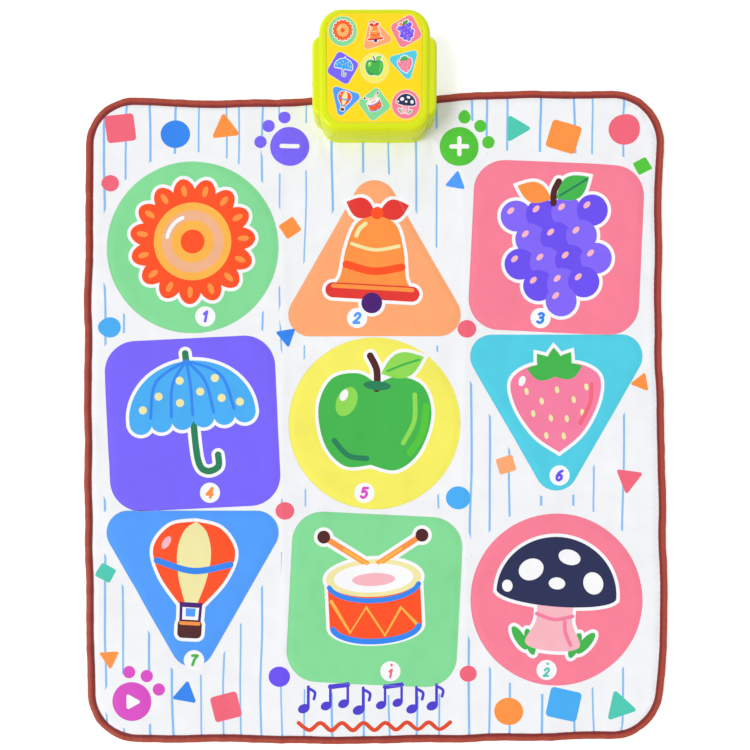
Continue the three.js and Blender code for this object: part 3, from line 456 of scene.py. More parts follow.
def drum():
    foot = lowered(arc(0, 0, 64, math.pi, math.pi), -38, 0.36)
    bodies = [([(-64, 28), (-64, -38)] + foot[1:-1] + [(64, -38), (64, 28)], "flame"),
              oval("cream", 0, 28, 66, 26), line("orange", 8, (8, 48), (70, 84)),
              line("orange", 8, (-8, 48), (-66, 88)), dot("cocoa", 70, 84, 9), dot("cocoa", -66, 88, 9)]
    details = [line("amber", 5, (-60, -2), (-36, -46), (-12, -12), (12, -52), (36, -14), (60, -42)),
               oval("rim", 0, 28, 55, 20), oval("blush", 0, 26, 30, 9),
               line("blue", 8, *lowered(arc(0, 0, 60, math.pi * 1.04, math.pi * 0.92), -38, 0.36)),
               line("blue", 7, *lowered(arc(0, 0, 63, math.pi * 1.06, math.pi * 0.88), 22, 0.40)),
               line("amber", 4, (8, 48), (40, 67)), line("amber", 4, (-8, 48), (-38, 69))]
    return bodies, details


def mushroom():
    stem = curve([(-26, -4), (-24, -40), (-36, -72), (0, -80), (36, -72), (24, -40), (26, -4)])
    blades = [(-44, -66, 2.2), (-30, -70, 1.9), (44, -66, 0.94), (30, -70, 1.24)]
    bodies = [oval("leaf", x, y, 18, 6.5, turn) for x, y, turn in blades]
    bodies += [(stem, "blush"), (half_disc(0, -4, 80, 0.95), "navy"), oval("navy", 0, -4, 80, 17)]
    spots = [(-36, 26, 17, 14, 0.5), (14, 46, 15, 10, -0.2), (48, 14, 13, 15, 0.4), (0, 10, 11, 8, 0.0),
             (-66, 2, 7, 8, 0.2)]
    details = [oval("rim", *spot) for spot in spots]
    details += [bend("rose", 5, (-24, -32), (0, -38), (24, -32)),
                bend("rose", 5, (14, -40), (16, -54), (24, -70))]
    return bodies, details


print("outlines in the sun:", sum(len(part) for part in sun()))

# %% [markdown]
# ## The step panels
# A child steps on a disc, a rounded square or a rounded triangle. Each panel is a patch of the
# same printed cloth over its own contact, and it sinks a millimetre. Its outline has to be the
# one that the CAD pad has, so its size is read from the frame, and only the corner roundings
# and the turns are given here.

# %% Panel outlines from the frame
SQUARE_CORNER = 42.8
TRIANGLE_CORNERS = (282.0, 246.3)
TRIANGLE_CORNER = 30.0
TRIAL_WIDTH = 200.0
PANELS = {
    "step_pad_1": ("disc", 0.0, "mint", sun),
    "step_pad_2": ("triangle", 0.0, "peach", bell),
    "step_pad_3": ("square", -0.05, "pink", grapes),
    "step_pad_4": ("square", 0.05, "violet", umbrella),
    "step_pad_5": ("disc", 0.0, "lemon", apple),
    "step_pad_6": ("triangle", math.pi, "aqua", strawberry),
    "step_pad_7": ("triangle", math.pi, "sky", balloon),
    "step_pad_8": ("square", -0.05, "mint", drum),
    "step_pad_9": ("disc", 0.0, "pink", mushroom),
}
CONTROL_PADS = {"volume_down_pad": "violet", "volume_up_pad": "green", "game_pad": "magenta"}


def box_of(node):
    """The low and high corner of a CAD node's box, in millimetres."""
    return [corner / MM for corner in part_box(node)]


def panel_shape(shape, width):
    """A panel's outline about its centre, in millimetres."""
    if shape == "disc":
        return circle(0, 0, width / 2)
    if shape == "square":
        return block(width, width, SQUARE_CORNER)
    w, h = TRIANGLE_CORNERS
    return rounded([(-w / 2, -h / 2), (w / 2, -h / 2), (0, h / 2)], TRIANGLE_CORNER)


def panel_frame(node, shape, turn):
    """Centre and width of a pad, from the box of its CAD node."""
    low, high = box_of(node)
    x, y = (low.x + high.x) / 2, (low.y + high.y) / 2
    if shape == "triangle":
        y = low.y + TRIANGLE_CORNERS[1] / 2 if turn == 0 else high.y - TRIANGLE_CORNERS[1] / 2
        return x, y, high.x - low.x
    outline = placed(panel_shape(shape, TRIAL_WIDTH), turn=turn)
    reach = max(px for px, _ in outline) - min(px for px, _ in outline)
    return x, y, TRIAL_WIDTH + (high.x - low.x) - reach


pad_places = {}
pad_outlines = {}
for node, (shape, turn, _, _) in PANELS.items():
    x, y, width = panel_frame(node, shape, turn)
    pad_places[node] = (x, y, width)
    pad_outlines[node] = placed(panel_shape(shape, width), x, y, turn)
for node in CONTROL_PADS:
    low, high = box_of(node)
    x, y, width = (low.x + high.x) / 2, (low.y + high.y) / 2, high.x - low.x
    pad_places[node] = (x, y, width)
    pad_outlines[node] = circle(x, y, width / 2)
print("square panels are", round(pad_places["step_pad_3"][2], 1), "mm wide")

# %% [markdown]
# ## What is printed, in painter's order
# The print goes down like poster paint: stripes first, then clear margins round the panels,
# the panels, loose confetti, the motifs with their white rims, number discs and the signs on
# the three small control pads. Later outlines cover earlier ones. Each numeral is a few pen
# lines in a box one unit high, so a broad pen gives it its bold look at any size.

# %% Print the stripes
STRIPE_WIDTH = 2.9
STRIPE_GAPS = (23, 46)
STRIPE_LEAN = 5
STRIPE_SHAKE = 1.6
STRIPE_KNOTS = 13
STRIPE_MARGINS = (27, 22)
mat_low, mat_high = box_of("edge_binding")
mat_centre = (mat_low + mat_high) / 2
mat_size = mat_high - mat_low
prints = []


def print_stripes():
    """Stripes from the near edge to the far edge, each a little bent and leaning."""
    pen = random.Random(11)
    x = mat_low.x + STRIPE_MARGINS[0]
    while x < mat_high.x - STRIPE_MARGINS[1]:
        lean = pen.uniform(-STRIPE_LEAN, STRIPE_LEAN)
        points = []
        for i in range(STRIPE_KNOTS):
            share = i / (STRIPE_KNOTS - 1)
            across = x + lean * share + pen.uniform(-STRIPE_SHAKE, STRIPE_SHAKE)
            points.append((across, mat_low.y + 2 + (mat_high.y - mat_low.y - 4) * share))
        prints.append((stroke(curve(points, 5), STRIPE_WIDTH * pen.uniform(0.75, 1.2)), "stripe"))
        x += pen.uniform(*STRIPE_GAPS)


print_stripes()
print("stripes:", len(prints))

# %% Print the margins, the panels and the confetti
PANEL_MARGIN = 13.0
# Per scrap: shape, place from the middle of the mat, size, turn and ink.
CONFETTI = [
    ("block", -352, 404, 40, 0.12, "coral"), ("disc", -276, 396, 41, 0, "blue"),
    ("triangle", -207, 404, 42, 2.2, "orange"), ("triangle", 196, 404, 40, 0.5, "teal"),
    ("block", 262, 392, 42, -0.3, "orange"), ("disc", 346, 402, 44, 0, "coral"),
    ("disc", -366, 328, 24, 0, "coral"), ("block", 371, 352, 20, 0.5, "green"),
    ("block", -117, 266, 24, 0.6, "orange"), ("triangle", 113, 330, 30, 1.9, "sky"),
    ("disc", -366, 128, 30, 0, "light_blue"), ("triangle", -122, 116, 30, 1.2, "blue"),
    ("disc", 128, 126, 26, 0, "coral"), ("triangle", 369, 52, 28, -0.4, "orange"),
    ("disc", 116, -108, 34, 0, "light_blue"), ("block", -372, -212, 22, -0.5, "teal"),
    ("triangle", 352, -82, 40, 0.9, "coral"), ("disc", -124, -126, 26, 0, "coral"),
    ("block", 182, -62, 24, 0.3, "peach"), ("triangle", -367, -330, 30, 1.1, "orange"),
    ("block", -206, -398, 38, 0.25, "coral"), ("triangle", -262, -380, 36, 1.9, "blue"),
    ("disc", -132, -356, 30, 0, "purple"), ("disc", 186, -404, 40, 0, "orange"),
    ("block", 262, -394, 44, -0.22, "light_blue"), ("triangle", 340, -398, 46, 0.3, "teal"),
    ("disc", 130, -352, 24, 0, "coral"),
]


def confetti_piece(shape, x, y, size, turn):
    """A scrap of paper: a disc, a block or a triangle, all cut a little unevenly."""
    if shape == "disc":
        return ellipse(x, y, size / 2, size * 0.47, turn)
    if shape == "block":
        return placed(block(size, size * 0.94, size * 0.12), x, y, turn)
    side = size * 0.56
    corners = [(side * math.cos(a), side * math.sin(a)) for a in (-2.6, -0.5, math.pi / 2)]
    return placed(rounded(corners, size * 0.07), x, y, turn)


prints += [(grown(outline, PANEL_MARGIN), "cloth") for outline in pad_outlines.values()]
prints += [(pad_outlines[node], ink) for node, (_, _, ink, _) in PANELS.items()]
prints += [(pad_outlines[node], ink) for node, ink in CONTROL_PADS.items()]
for shape, x, y, size, turn, ink in CONFETTI:
    prints.append((confetti_piece(shape, mat_centre.x + x, mat_centre.y + y, size, turn), ink))
print("ground outlines:", len(prints))


# %% Numerals and stickers
RIM_WIDTH = 4.6
NUMBER_DISC = 14.0
NUMERAL_HEIGHT = 17.0
NUMERAL_PEN = 0.23
NUMERAL_SLANT = 0.2
OCTAVE_DOT = (1.5, 8.6, 1.9)
NUMERALS = {
    1: [[(0.08, 0.5), (0.08, -0.5)], [(0.08, 0.5), (-0.17, 0.26)]],
    2: [curve([(-0.28, 0.24), (-0.1, 0.47), (0.17, 0.44), (0.26, 0.2), (0.06, -0.12), (-0.28, -0.5)]),
        [(-0.28, -0.5), (0.3, -0.5)]],
    3: [curve([(-0.24, 0.38), (-0.02, 0.5), (0.24, 0.36), (0.2, 0.12), (-0.04, 0.03)]),
        curve([(-0.04, 0.03), (0.22, -0.05), (0.27, -0.3), (0.02, -0.5), (-0.27, -0.38)])],
    4: [[(0.14, -0.5), (0.14, 0.5)], [(0.14, 0.5), (-0.3, -0.18)], [(-0.3, -0.18), (0.32, -0.18)]],
    5: [[(0.26, 0.5), (-0.18, 0.5)], [(-0.18, 0.5), (-0.22, 0.08)],
        curve([(-0.22, 0.08), (0.06, 0.16), (0.27, -0.1), (0.16, -0.42), (-0.08, -0.5), (-0.27, -0.38)])],
    6: [curve([(0.2, 0.48), (-0.08, 0.3), (-0.25, -0.06), (-0.2, -0.38), (0.02, -0.5), (0.24, -0.34)]),
        curve([(0.24, -0.34), (0.22, -0.06), (0.0, 0.06), (-0.24, -0.1)])],
    7: [[(-0.26, 0.5), (0.28, 0.5)], curve([(0.28, 0.5), (0.04, 0.06), (-0.06, -0.5)])],
}


def sticker(parts, x, y, turn=0.0, size=1.0, rim=RIM_WIDTH):
    """A motif with its white rim, as (outline, ink) pairs in painter's order."""
    bodies, details = parts
    layers = [(grown(placed(o, x, y, turn, size), rim), "rim") for o, _ in bodies]
    return layers + [(placed(o, x, y, turn, size), ink) for o, ink in bodies + details]


def numeral(digit, x, y, height, ink):
    """A bold slanted numeral, drawn with a pen as broad as a share of its height."""
    pen = NUMERAL_PEN * height
    tall = height - pen
    paths = [[(x + (across + NUMERAL_SLANT * up) * tall, y + up * tall) for across, up in path]
             for path in NUMERALS[digit]]
    return [line(ink, pen, *path) for path in paths]


def number_disc(x, y, digit, ink, dotted):
    """A numeral on a white disc; the second round of the scale has a dot above, as in number notation."""
    layers = [dot("rim", x, y, NUMBER_DISC)]
    layers += numeral(digit, x, y - 3 * dotted, NUMERAL_HEIGHT * (1 - 0.2 * dotted), ink)
    right, up, radius = OCTAVE_DOT
    return layers + [dot(ink, x + right, y + up, radius)] * dotted


# %% Print the motifs and the number discs
# Per panel: the motif's place, turn and size, and the number disc's place and ink.
PANEL_LAYOUT = {
    "step_pad_1": ((0, 8, 0.06, 0.98), (18, -96, "violet")),
    "step_pad_2": ((0, -14, -0.06, 0.96), (-24, -98, "sky")),
    "step_pad_3": ((0, 6, 0.08, 0.98), (-22, -98, "blue")),
    "step_pad_4": ((0, 12, 0.12, 1.02), (24, -96, "orange")),
    "step_pad_5": ((0, 8, -0.08, 1.06), (-14, -96, "magenta")),
    "step_pad_6": ((0, 30, 0.05, 0.92), (4, -72, "purple")),
    "step_pad_7": ((0, 26, -0.06, 0.98), (2, -84, "leaf")),
    "step_pad_8": ((0, 2, 0.05, 1.0), (22, -99, "coral")),
    "step_pad_9": ((0, 12, -0.08, 1.04), (-14, -97, "teal")),
}
DIGITS = 7
for number, (node, ((dx, dy, lean, size), (nx, ny, ink))) in enumerate(PANEL_LAYOUT.items(), 1):
    x, y, _ = pad_places[node]
    motif = PANELS[node][3]
    dotted = number > DIGITS
    prints += sticker(motif(), x + dx, y + dy, lean, size)
    prints += number_disc(x + nx, y + ny, number - DIGITS * dotted, ink, dotted)
print("outlines with motifs:", len(prints))

# %% Print the signs on the control pads
CONTROL_DOT = 8.6
CONTROL_DOT_REACH = 41.0
CONTROL_DOT_STEP = 0.62
SIGN_ARM = 11
SIGN_PEN = 6


def control_dots(node, first, step):
    """Three small dots round a control pad, from a first angle on."""
    x, y, _ = pad_places[node]
    angles = [first + step * i for i in range(3)]
    return [dot(CONTROL_PADS[node], x + CONTROL_DOT_REACH * math.cos(a), y + CONTROL_DOT_REACH * math.sin(a),
                CONTROL_DOT) for a in angles]


prints += control_dots("volume_down_pad", 1.75, CONTROL_DOT_STEP)
x, y, _ = pad_places["volume_down_pad"]
prints.append(line("rim", SIGN_PEN, (x - SIGN_ARM, y), (x + SIGN_ARM, y)))
prints += control_dots("volume_up_pad", math.pi - 1.75, -CONTROL_DOT_STEP)
x, y, _ = pad_places["volume_up_pad"]
prints += [line("rim", SIGN_PEN, (x - SIGN_ARM, y), (x + SIGN_ARM, y)),
           line("rim", SIGN_PEN, (x, y - SIGN_ARM), (x, y + SIGN_ARM))]
prints += control_dots("game_pad", 0.42, CONTROL_DOT_STEP)
x, y, _ = pad_places["game_pad"]
prints.append((placed(rounded([(-7, -12), (14, 0), (-7, 12)], 2.5), x, y), "rim"))
print("outlines with signs:", len(prints))

# %% Print a row of music notes
NOTE_ROW = -401.0
# Per note: its place in the row, its size and its number of heads.
NOTES = [(-98, 1, 1.12, 1), (-67, 5, 1.05, 2), (-22, -1, 1.15, 1), (9, 6, 1.0, 2), (52, 0, 1.12, 1),
         (80, 4, 1.1, 1)]
HEAD = (7.4, 5.6)
STEM_OFFSET = 5.6
STEM_WIDTH = 3.6
BEAM_WIDTH = 6.4
BEAM_SPAN = 23
BEAM_RISE = 3
WAVE_DROP = 24.0
WAVE_STEP = 15.0
WAVE_PEN = 5.6


def note(x, y, size, heads, ink):
    """One quaver, or two joined by a beam, drawn with a broad pen."""
    marks = []
    for hx, hy in [(x, y), (x + BEAM_SPAN * size, y + BEAM_RISE * size)][:heads]:
        stem = hx + STEM_OFFSET * size
        marks.append(oval(ink, hx, hy, HEAD[0] * size, HEAD[1] * size, 0.4))
        marks.append(line(ink, STEM_WIDTH * size, (stem, hy + 1), (stem, hy + 27 * size)))
    tx, ty = x + STEM_OFFSET * size, y + 25 * size
    if heads == 1:
        return marks + [bend(ink, STEM_WIDTH * size, (tx, ty), (tx + 8 * size, ty - 5 * size),
                             (tx + 7 * size, ty - 13 * size))]
    return marks + [line(ink, BEAM_WIDTH * size, (tx, ty), (tx + BEAM_SPAN * size, ty + BEAM_RISE * size))]


for dx, dy, size, heads in NOTES:
    prints += note(mat_centre.x + dx, mat_centre.y + NOTE_ROW + dy, size, heads, "ink_blue")
wave_y = mat_centre.y + NOTE_ROW - WAVE_DROP
wave = [(mat_centre.x + WAVE_STEP * i, wave_y + (5.5 if i % 2 else -4.5)) for i in range(-7, 8)]
prints.append((stroke(curve(wave, 6), WAVE_PEN), "ink_red"))
print("all outlines:", len(prints))

# %% [markdown]
# ## One surface for cloth and panels
# On the real mat one printed cloth runs over everything, so the seams round the panels hardly
# show. To get that, the whole print is triangulated once: a constrained Delaunay mesh has an
# edge along every printed line and tells for each triangle which outline lies on top. The
# triangles are then dealt out to the quilt and to the twelve pads, and each of them is closed
# below into a body of its own.

# %% Helpers of the print mesh
EDGE_STEP = 6.0
MERGE_DISTANCE = 0.01
SLIVER_WIDTH = 0.05


def along_outline(outline, step):
    """Even places along a closed outline, their inward directions, the length so far and in all."""
    corners = np.array(outline + outline[:1])
    lengths = np.concatenate([[0], np.cumsum(np.hypot(*np.diff(corners, axis=0).T))])
    at = np.linspace(0, lengths[-1], int(lengths[-1] / step), endpoint=False)
    places = np.column_stack([np.interp(at, lengths, corners[:, k]) for k in (0, 1)])
    heading = np.roll(places, -1, axis=0) - np.roll(places, 1, axis=0)
    heading /= np.linalg.norm(heading, axis=1)[:, None]
    return places, np.column_stack([-heading[:, 1], heading[:, 0]]), at, lengths[-1]


def divided(outline, step):
    """The outline with points added on its long sides, so that it can follow the cloth."""
    points = []
    for a, b in zip(outline, outline[1:] + outline[:1]):
        parts = max(1, math.ceil(math.dist(a, b) / step))
        points += [(a[0] + (b[0] - a[0]) * i / parts, a[1] + (b[1] - a[1]) * i / parts) for i in range(parts)]
    return points


def triangulate(outlines, extra_points):
    """Points, counter-clockwise triangles, and for each triangle the outlines that lie over it."""
    points, loops = [], []
    for outline in outlines:
        outline = divided(outline, EDGE_STEP)
        loops.append(list(range(len(points), len(points) + len(outline))))
        points.extend(outline)
    points.extend(extra_points)
    found = delaunay_2d_cdt([Vector(p) for p in points], [], loops, 1, MERGE_DISTANCE, True)
    plan, faces, owners = np.array([tuple(v) for v in found[0]]), np.array(found[2]), found[5]
    # A thin sliver that belongs to no outline takes the outlines of the triangle on its longest side.
    beside = {(tri[i], tri[(i + 1) % 3]): k for k, tri in enumerate(faces.tolist()) for i in range(3)}
    for k, tri in enumerate(faces.tolist()):
        sides = [(tri[i], tri[(i + 1) % 3]) for i in range(3)]
        a, b = max(sides, key=lambda side: math.dist(plan[side[0]], plan[side[1]]))
        area = abs(Vector(plan[tri[1]] - plan[tri[0]]).cross(Vector(plan[tri[2]] - plan[tri[0]]))) / 2
        if not owners[k] and (b, a) in beside and area < SLIVER_WIDTH * math.dist(plan[a], plan[b]):
            owners[k] = owners[beside[(b, a)]]
    return plan, faces, owners


def grid_points(low, high, step):
    """A staggered grid that gives the slack of the cloth enough points to show."""
    rows = int((high.y - low.y) / (step * math.sqrt(3) / 2))
    points = []
    for row in range(1, rows):
        shift = step / 2 if row % 2 else 0
        columns = int((high.x - low.x - shift) / step)
        y = low.y + row * step * math.sqrt(3) / 2
        points += [(low.x + shift + step * i, y) for i in range(1, columns)]
    return points


print("points round a divided 90 mm square:", len(divided(block(90, 90, 5), EDGE_STEP)))

# %% Triangulate the print
GRID_STEP = 5.5
SEAM = 0.2
QUILT_INSET = 1.5
MAT_CORNER = 70.0
quilt_block = block(mat_size.x - 2 * QUILT_INSET, mat_size.y - 2 * QUILT_INSET, MAT_CORNER - QUILT_INSET)
quilt_outline = placed(quilt_block, mat_centre.x, mat_centre.y)
pad_nodes = list(pad_outlines)
windows = [grown(outline, SEAM) for outline in pad_outlines.values()]
markers = [quilt_outline] + windows + list(pad_outlines.values())
plan, plan_faces, owners = triangulate(markers + [o for o, _ in prints],
                                       grid_points(mat_low, mat_high, GRID_STEP))
print("print mesh:", len(plan), "points,", len(plan_faces), "triangles")

# %% Deal the triangles out
QUILT_PART = -1
NO_PART = -2
first_window, first_pad, first_print = 1, 1 + len(pad_nodes), 1 + 2 * len(pad_nodes)
face_ink = []
face_part = []
for owner in owners:
    top = max(owner, default=-1)
    face_ink.append(prints[top - first_print][1] if top >= first_print else "cloth")
    pads_here = [o - first_pad for o in owner if first_pad <= o < first_print]
    windows_here = [o for o in owner if first_window <= o < first_pad]
    if len(windows_here) > 1 or (windows_here and not pads_here) or 0 not in owner:
        face_part.append(NO_PART)
    else:
        face_part.append(pads_here[0] if pads_here else QUILT_PART)
face_part = np.array(face_part)
face_colour = np.array([linear(INKS[ink]) for ink in face_ink])
in_quilt, in_pads = int((face_part == QUILT_PART).sum()), int((face_part >= 0).sum())
print("triangles of the quilt:", in_quilt, "of the pads:", in_pads)

# %% [markdown]
# ## How slack cloth lies
# Cloth that was folded for its carton keeps faint creases between the panels, it puckers a
# little along the sewn edge, and it is pulled by the clamped box. A cloth simulation would
# spend minutes on ripples of half a millimetre, so the lie of the cloth is written as one
# height function instead, and its slope gives exact shading. The quilt, the pads and the
# binding all read the same function, which keeps them together.

# %% Waves of the slack cloth
# Per family of waves: shortest, longest, how many and how steep.
WAVE_FAMILIES = ((70, 260, 14, 0.0072), (24, 62, 16, 0.0085))
slack = random.Random(5)
waves = []
for shortest, longest, count, steepness in WAVE_FAMILIES:
    for _ in range(count):
        length, angle = slack.uniform(shortest, longest), slack.uniform(0, TAU)
        waves.append((TAU / length * math.cos(angle), TAU / length * math.sin(angle), slack.uniform(0, TAU),
                      length / TAU * steepness))
print("waves:", len(waves), "the highest:", round(max(size for *_, size in waves), 2), "mm")

# %% The height of the cloth
CREASE_HEIGHT = 0.75
CREASE_WIDTH = 6.5
CREASES_X = (-126.5, 125.0)
CREASES_Y = (118.0, -129.0)
SOFT_CREST = 1.6
PUCKER_HEIGHT = 0.8
PUCKER_REACH = 17.0
PULL_HEIGHT = 0.75
PULL_REACH = 58.0
PULL_START = 16.0
CLOTH_SINK = 0.35
FLANGE = 12.2
FLANGE_RAMP = 5.0
FLANGE_DROP = 1.1
box_low, box_high = box_of("front_shell")


def smooth(t):
    """A soft step: 0 up to 0, 1 from 1 on."""
    t = np.clip(t, 0, 1)
    return t * t * (3 - 2 * t)


def edge_distance(x, y):
    """How far inside the rounded edge of the mat each point lies."""
    half_x, half_y = mat_size.x / 2 - MAT_CORNER, mat_size.y / 2 - MAT_CORNER
    qx, qy = np.abs(x - mat_centre.x) - half_x, np.abs(y - mat_centre.y) - half_y
    outside = np.hypot(np.maximum(qx, 0), np.maximum(qy, 0)) + np.minimum(np.maximum(qx, qy), 0)
    return MAT_CORNER - outside


def crease(off_line, height):
    """A soft ridge over a fold line, from each point's distance to it."""
    return height * np.exp(-np.hypot(off_line, SOFT_CREST) / CREASE_WIDTH)


def pucker(x, y):
    """Gathers about 30 mm long along the sewn edge, from 0 to 1."""
    across = np.sin(TAU * x / 27 + 1.3 * np.sin(y / 40))
    along = np.sin(TAU * y / 31 + 1.1 * np.sin(x / 37))
    return 0.5 + 0.25 * across + 0.25 * along


def box_pull(x, y, side):
    """Rays of tension from a near corner of the clamped box, towards the middle of the mat."""
    dx, dy = (x - side * (box_high.x - 6)) * side, y - (box_low.y + 12)
    away, angle = np.hypot(dx, dy), np.arctan2(dy, dx)
    pull = np.exp(-away / PULL_REACH) * (1 - np.exp(-away / PULL_START)) * smooth((0.9 - angle) / 0.9)
    return PULL_HEIGHT * pull * (1 + np.sin(6.5 * angle + side))


def slack_height(x, y):
    """How much higher than flat the cloth lies, in millimetres."""
    height = sum(size * (1 + np.sin(kx * x + ky * y + start)) for kx, ky, start, size in waves)
    for at in CREASES_X:
        height = height + crease(x - at - 2.2 * np.sin(y / 61), CREASE_HEIGHT)
    for at in CREASES_Y:
        height = height + crease(y - mat_centre.y - at - 2.0 * np.sin(x / 57), CREASE_HEIGHT * 0.8)
    fade = np.exp(-np.maximum(edge_distance(x, y), 0) / PUCKER_REACH)
    height = height + PUCKER_HEIGHT * pucker(x, y) * fade
    return height + box_pull(x, y, -1) + box_pull(x, y, 1)


def cloth_height(x, y):
    """The top of the quilt above the floor, in millimetres."""
    inside = edge_distance(x, y)
    drop = FLANGE_DROP * (1 - smooth((inside - FLANGE) / FLANGE_RAMP))
    return cloth_top / MM - CLOTH_SINK - drop + slack_height(x, y) * smooth(inside / 6 + 0.35)


heights = cloth_height(plan[:, 0], plan[:, 1])
print("cloth lies between", round(float(heights.min()), 2), "and", round(float(heights.max()), 2), "mm")

# %% The step of the pads and the slopes
PANEL_RISE = 0.9
PANEL_SHOULDER = 9.0


def inside_distance(x, y, outline):
    """Distance from each point to the nearest edge of an outline."""
    corners = np.array(outline)
    best = np.full(x.shape, np.inf)
    for a, b in zip(corners, np.roll(corners, -1, axis=0)):
        edge = b - a
        t = np.clip(((x - a[0]) * edge[0] + (y - a[1]) * edge[1]) / max(edge @ edge, 1e-12), 0, 1)
        best = np.minimum(best, np.hypot(x - a[0] - t * edge[0], y - a[1] - t * edge[1]))
    return best


def pad_height(x, y, outline):
    """The top of a pad: level with the cloth at its seam, and a soft step higher inside."""
    return cloth_height(x, y) + PANEL_RISE * smooth(inside_distance(x, y, outline) / PANEL_SHOULDER)


def slopes(height, x, y, *more):
    """Upward normals of a height function, from differences half a millimetre either way."""
    step = 0.5
    dx = (height(x + step, y, *more) - height(x - step, y, *more)) / (2 * step)
    dy = (height(x, y + step, *more) - height(x, y - step, *more)) / (2 * step)
    normals = np.stack([-dx, -dy, np.ones_like(dx)], 1)
    return normals / np.linalg.norm(normals, axis=1)[:, None]


steepest = slopes(cloth_height, plan[:, 0], plan[:, 1])[:, 2].min()
print("steepest slope of the cloth:", round(math.degrees(math.acos(steepest)), 1), "degrees")

# %% [markdown]
# ## Printed polyester
# The cover is a smooth polyester satin, heat-transfer printed: the dye sits in the fibre, so
# the inks are matt, slightly mottled, and follow the weave. The colour comes from an attribute
# on the mesh, a fine weave gives the bump, and a little sheen gives cloth its pale rim light.
# The real threads are about 0.25 mm apart, too fine to show, so they are drawn at 2.8 mm. A
# wave texture of scale one repeats every pi tenths of its unit, which gives the scale below.

# %% Printed polyester material
WEAVE_PITCH = 2.83
# Per pattern: size, detail, roughness, the range of the noise and the two tones that it becomes.
FIBRE_PATTERNS = ((35.7, 4.0, 0.6, 0.3, 0.7, 0.965, 1.02), (1.11, 2.0, 0.5, 0.3, 0.7, 0.985, 1.01))


def weave_height(tree, coordinates, pitch):
    """Two crossed wave textures, as threads a pitch in millimetres apart that cross each other."""
    threads = []
    for direction in ("X", "Y"):
        wave = add_node(tree, "ShaderNodeTexWave",
                        {"Vector": coordinates, "Scale": math.pi / 10 / (pitch * MM), "Distortion": 0.6,
                         "Detail": 1.0, "Detail Scale": 3.0},
                        wave_type="BANDS", bands_direction=direction, wave_profile="SIN")
        threads.append(wave.outputs["Fac"])
    return add_node(tree, "ShaderNodeMath", {0: threads[0], 1: threads[1]}, operation="MULTIPLY").outputs[0]


def mottled_ink(tree, place, *patterns):
    """The printed colour in slightly darker and lighter patches; a pattern's size is in millimetres."""
    colour = add_node(tree, "ShaderNodeAttribute", attribute_name="ink").outputs["Color"]
    for size, detail, roughness, low, high, darkest, lightest in patterns:
        noise = add_node(tree, "ShaderNodeTexNoise", {"Vector": place, "Scale": 1 / (size * MM),
                                                      "Detail": detail, "Roughness": roughness})
        tone = add_node(tree, "ShaderNodeMapRange", {"Value": noise.outputs["Fac"], "From Min": low,
                                                     "From Max": high, "To Min": darkest, "To Max": lightest})
        colour = add_node(tree, "ShaderNodeVectorMath", {0: colour, "Scale": tone.outputs[0]},
                          operation="SCALE").outputs[0]
    return colour


def finish_material(tree, shader, colour, height, strength, depth):
    """Gives the shader its colour and a bump whose full depth is in millimetres."""
    tree.links.new(colour, shader.inputs["Base Color"])
    bump = add_node(tree, "ShaderNodeBump", {"Height": height, "Strength": strength, "Distance": depth * MM})
    tree.links.new(bump.outputs[0], shader.inputs["Normal"])


# Heat-transferred dye on satin: matt and mottled, with a fine grain from the fibres.
printed_polyester, tree, shader = start_material("printed_polyester_satin", Roughness=0.72, Sheen_Weight=0.12,
                                                 Sheen_Roughness=0.4, Specular_IOR_Level=0.32)
place = add_node(tree, "ShaderNodeTexCoord").outputs["Object"]
ink = mottled_ink(tree, place, *FIBRE_PATTERNS)
finish_material(tree, shader, ink, weave_height(tree, place, WEAVE_PITCH), 0.18, 0.12)
print("printed polyester nodes:", len(printed_polyester.node_tree.nodes))


# %% Helpers that make and dress a piece
def new_piece(name, points, faces, *materials):
    """A smooth-shaded mesh object from points in millimetres."""
    mesh = bpy.data.meshes.new(name)
    mesh.from_pydata((np.asarray(points, float) * MM).tolist(), [], faces)
    mesh.shade_smooth()
    for material in materials:
        mesh.materials.append(material)
    return link_object(name, mesh)


def dress(piece, body, slot, *nodes):
    """Rides the piece on its body and hides the nodes that it stands for; the slot is not used."""
    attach(piece, body)
    if nodes:
        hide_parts(*nodes)
    return piece


# %% Close the printed triangles into bodies
def border(triangles):
    """The directed edges that only one triangle has."""
    edges = np.concatenate([triangles[:, [0, 1]], triangles[:, [1, 2]], triangles[:, [2, 0]]])
    known = set(map(tuple, edges.tolist()))
    return [(a, b) for a, b in known if (b, a) not in known]


def printed_body(name, sheet, height, bottom, material, *more):
    """A closed body from (points, triangles, colours): printed on top, with walls and a plain underside."""
    points, triangles, colours = sheet
    used, compact = np.unique(triangles, return_inverse=True)
    compact = compact.reshape(-1, 3)
    xy, count = points[used], len(used)
    z = height(xy[:, 0], xy[:, 1], *more)
    base_z = bottom(xy[:, 0], xy[:, 1]) if callable(bottom) else np.full(count, bottom)
    walls = [(a, count + a, count + b, b) for a, b in sorted(border(compact))]
    faces = compact.tolist() + walls + (compact[:, ::-1] + count).tolist()
    shell = np.vstack([np.column_stack([xy, z]), np.column_stack([xy, base_z])])
    piece = new_piece(name, shell, faces, material)
    mesh = piece.data
    corners = len(compact) * 3
    ink = np.ones((len(mesh.loops), 4), np.float32)
    ink[:, :] = linear(INKS["cloth"])
    ink[:corners] = np.repeat(colours, 3, axis=0)
    mesh.color_attributes.new("ink", "FLOAT_COLOR", "CORNER").data.foreach_set("color", ink.ravel())
    normals = np.zeros((len(mesh.loops), 3))
    normals[:corners] = slopes(height, xy[:, 0], xy[:, 1], *more)[compact.ravel()]
    mesh.normals_split_custom_set(normals.tolist())
    return piece


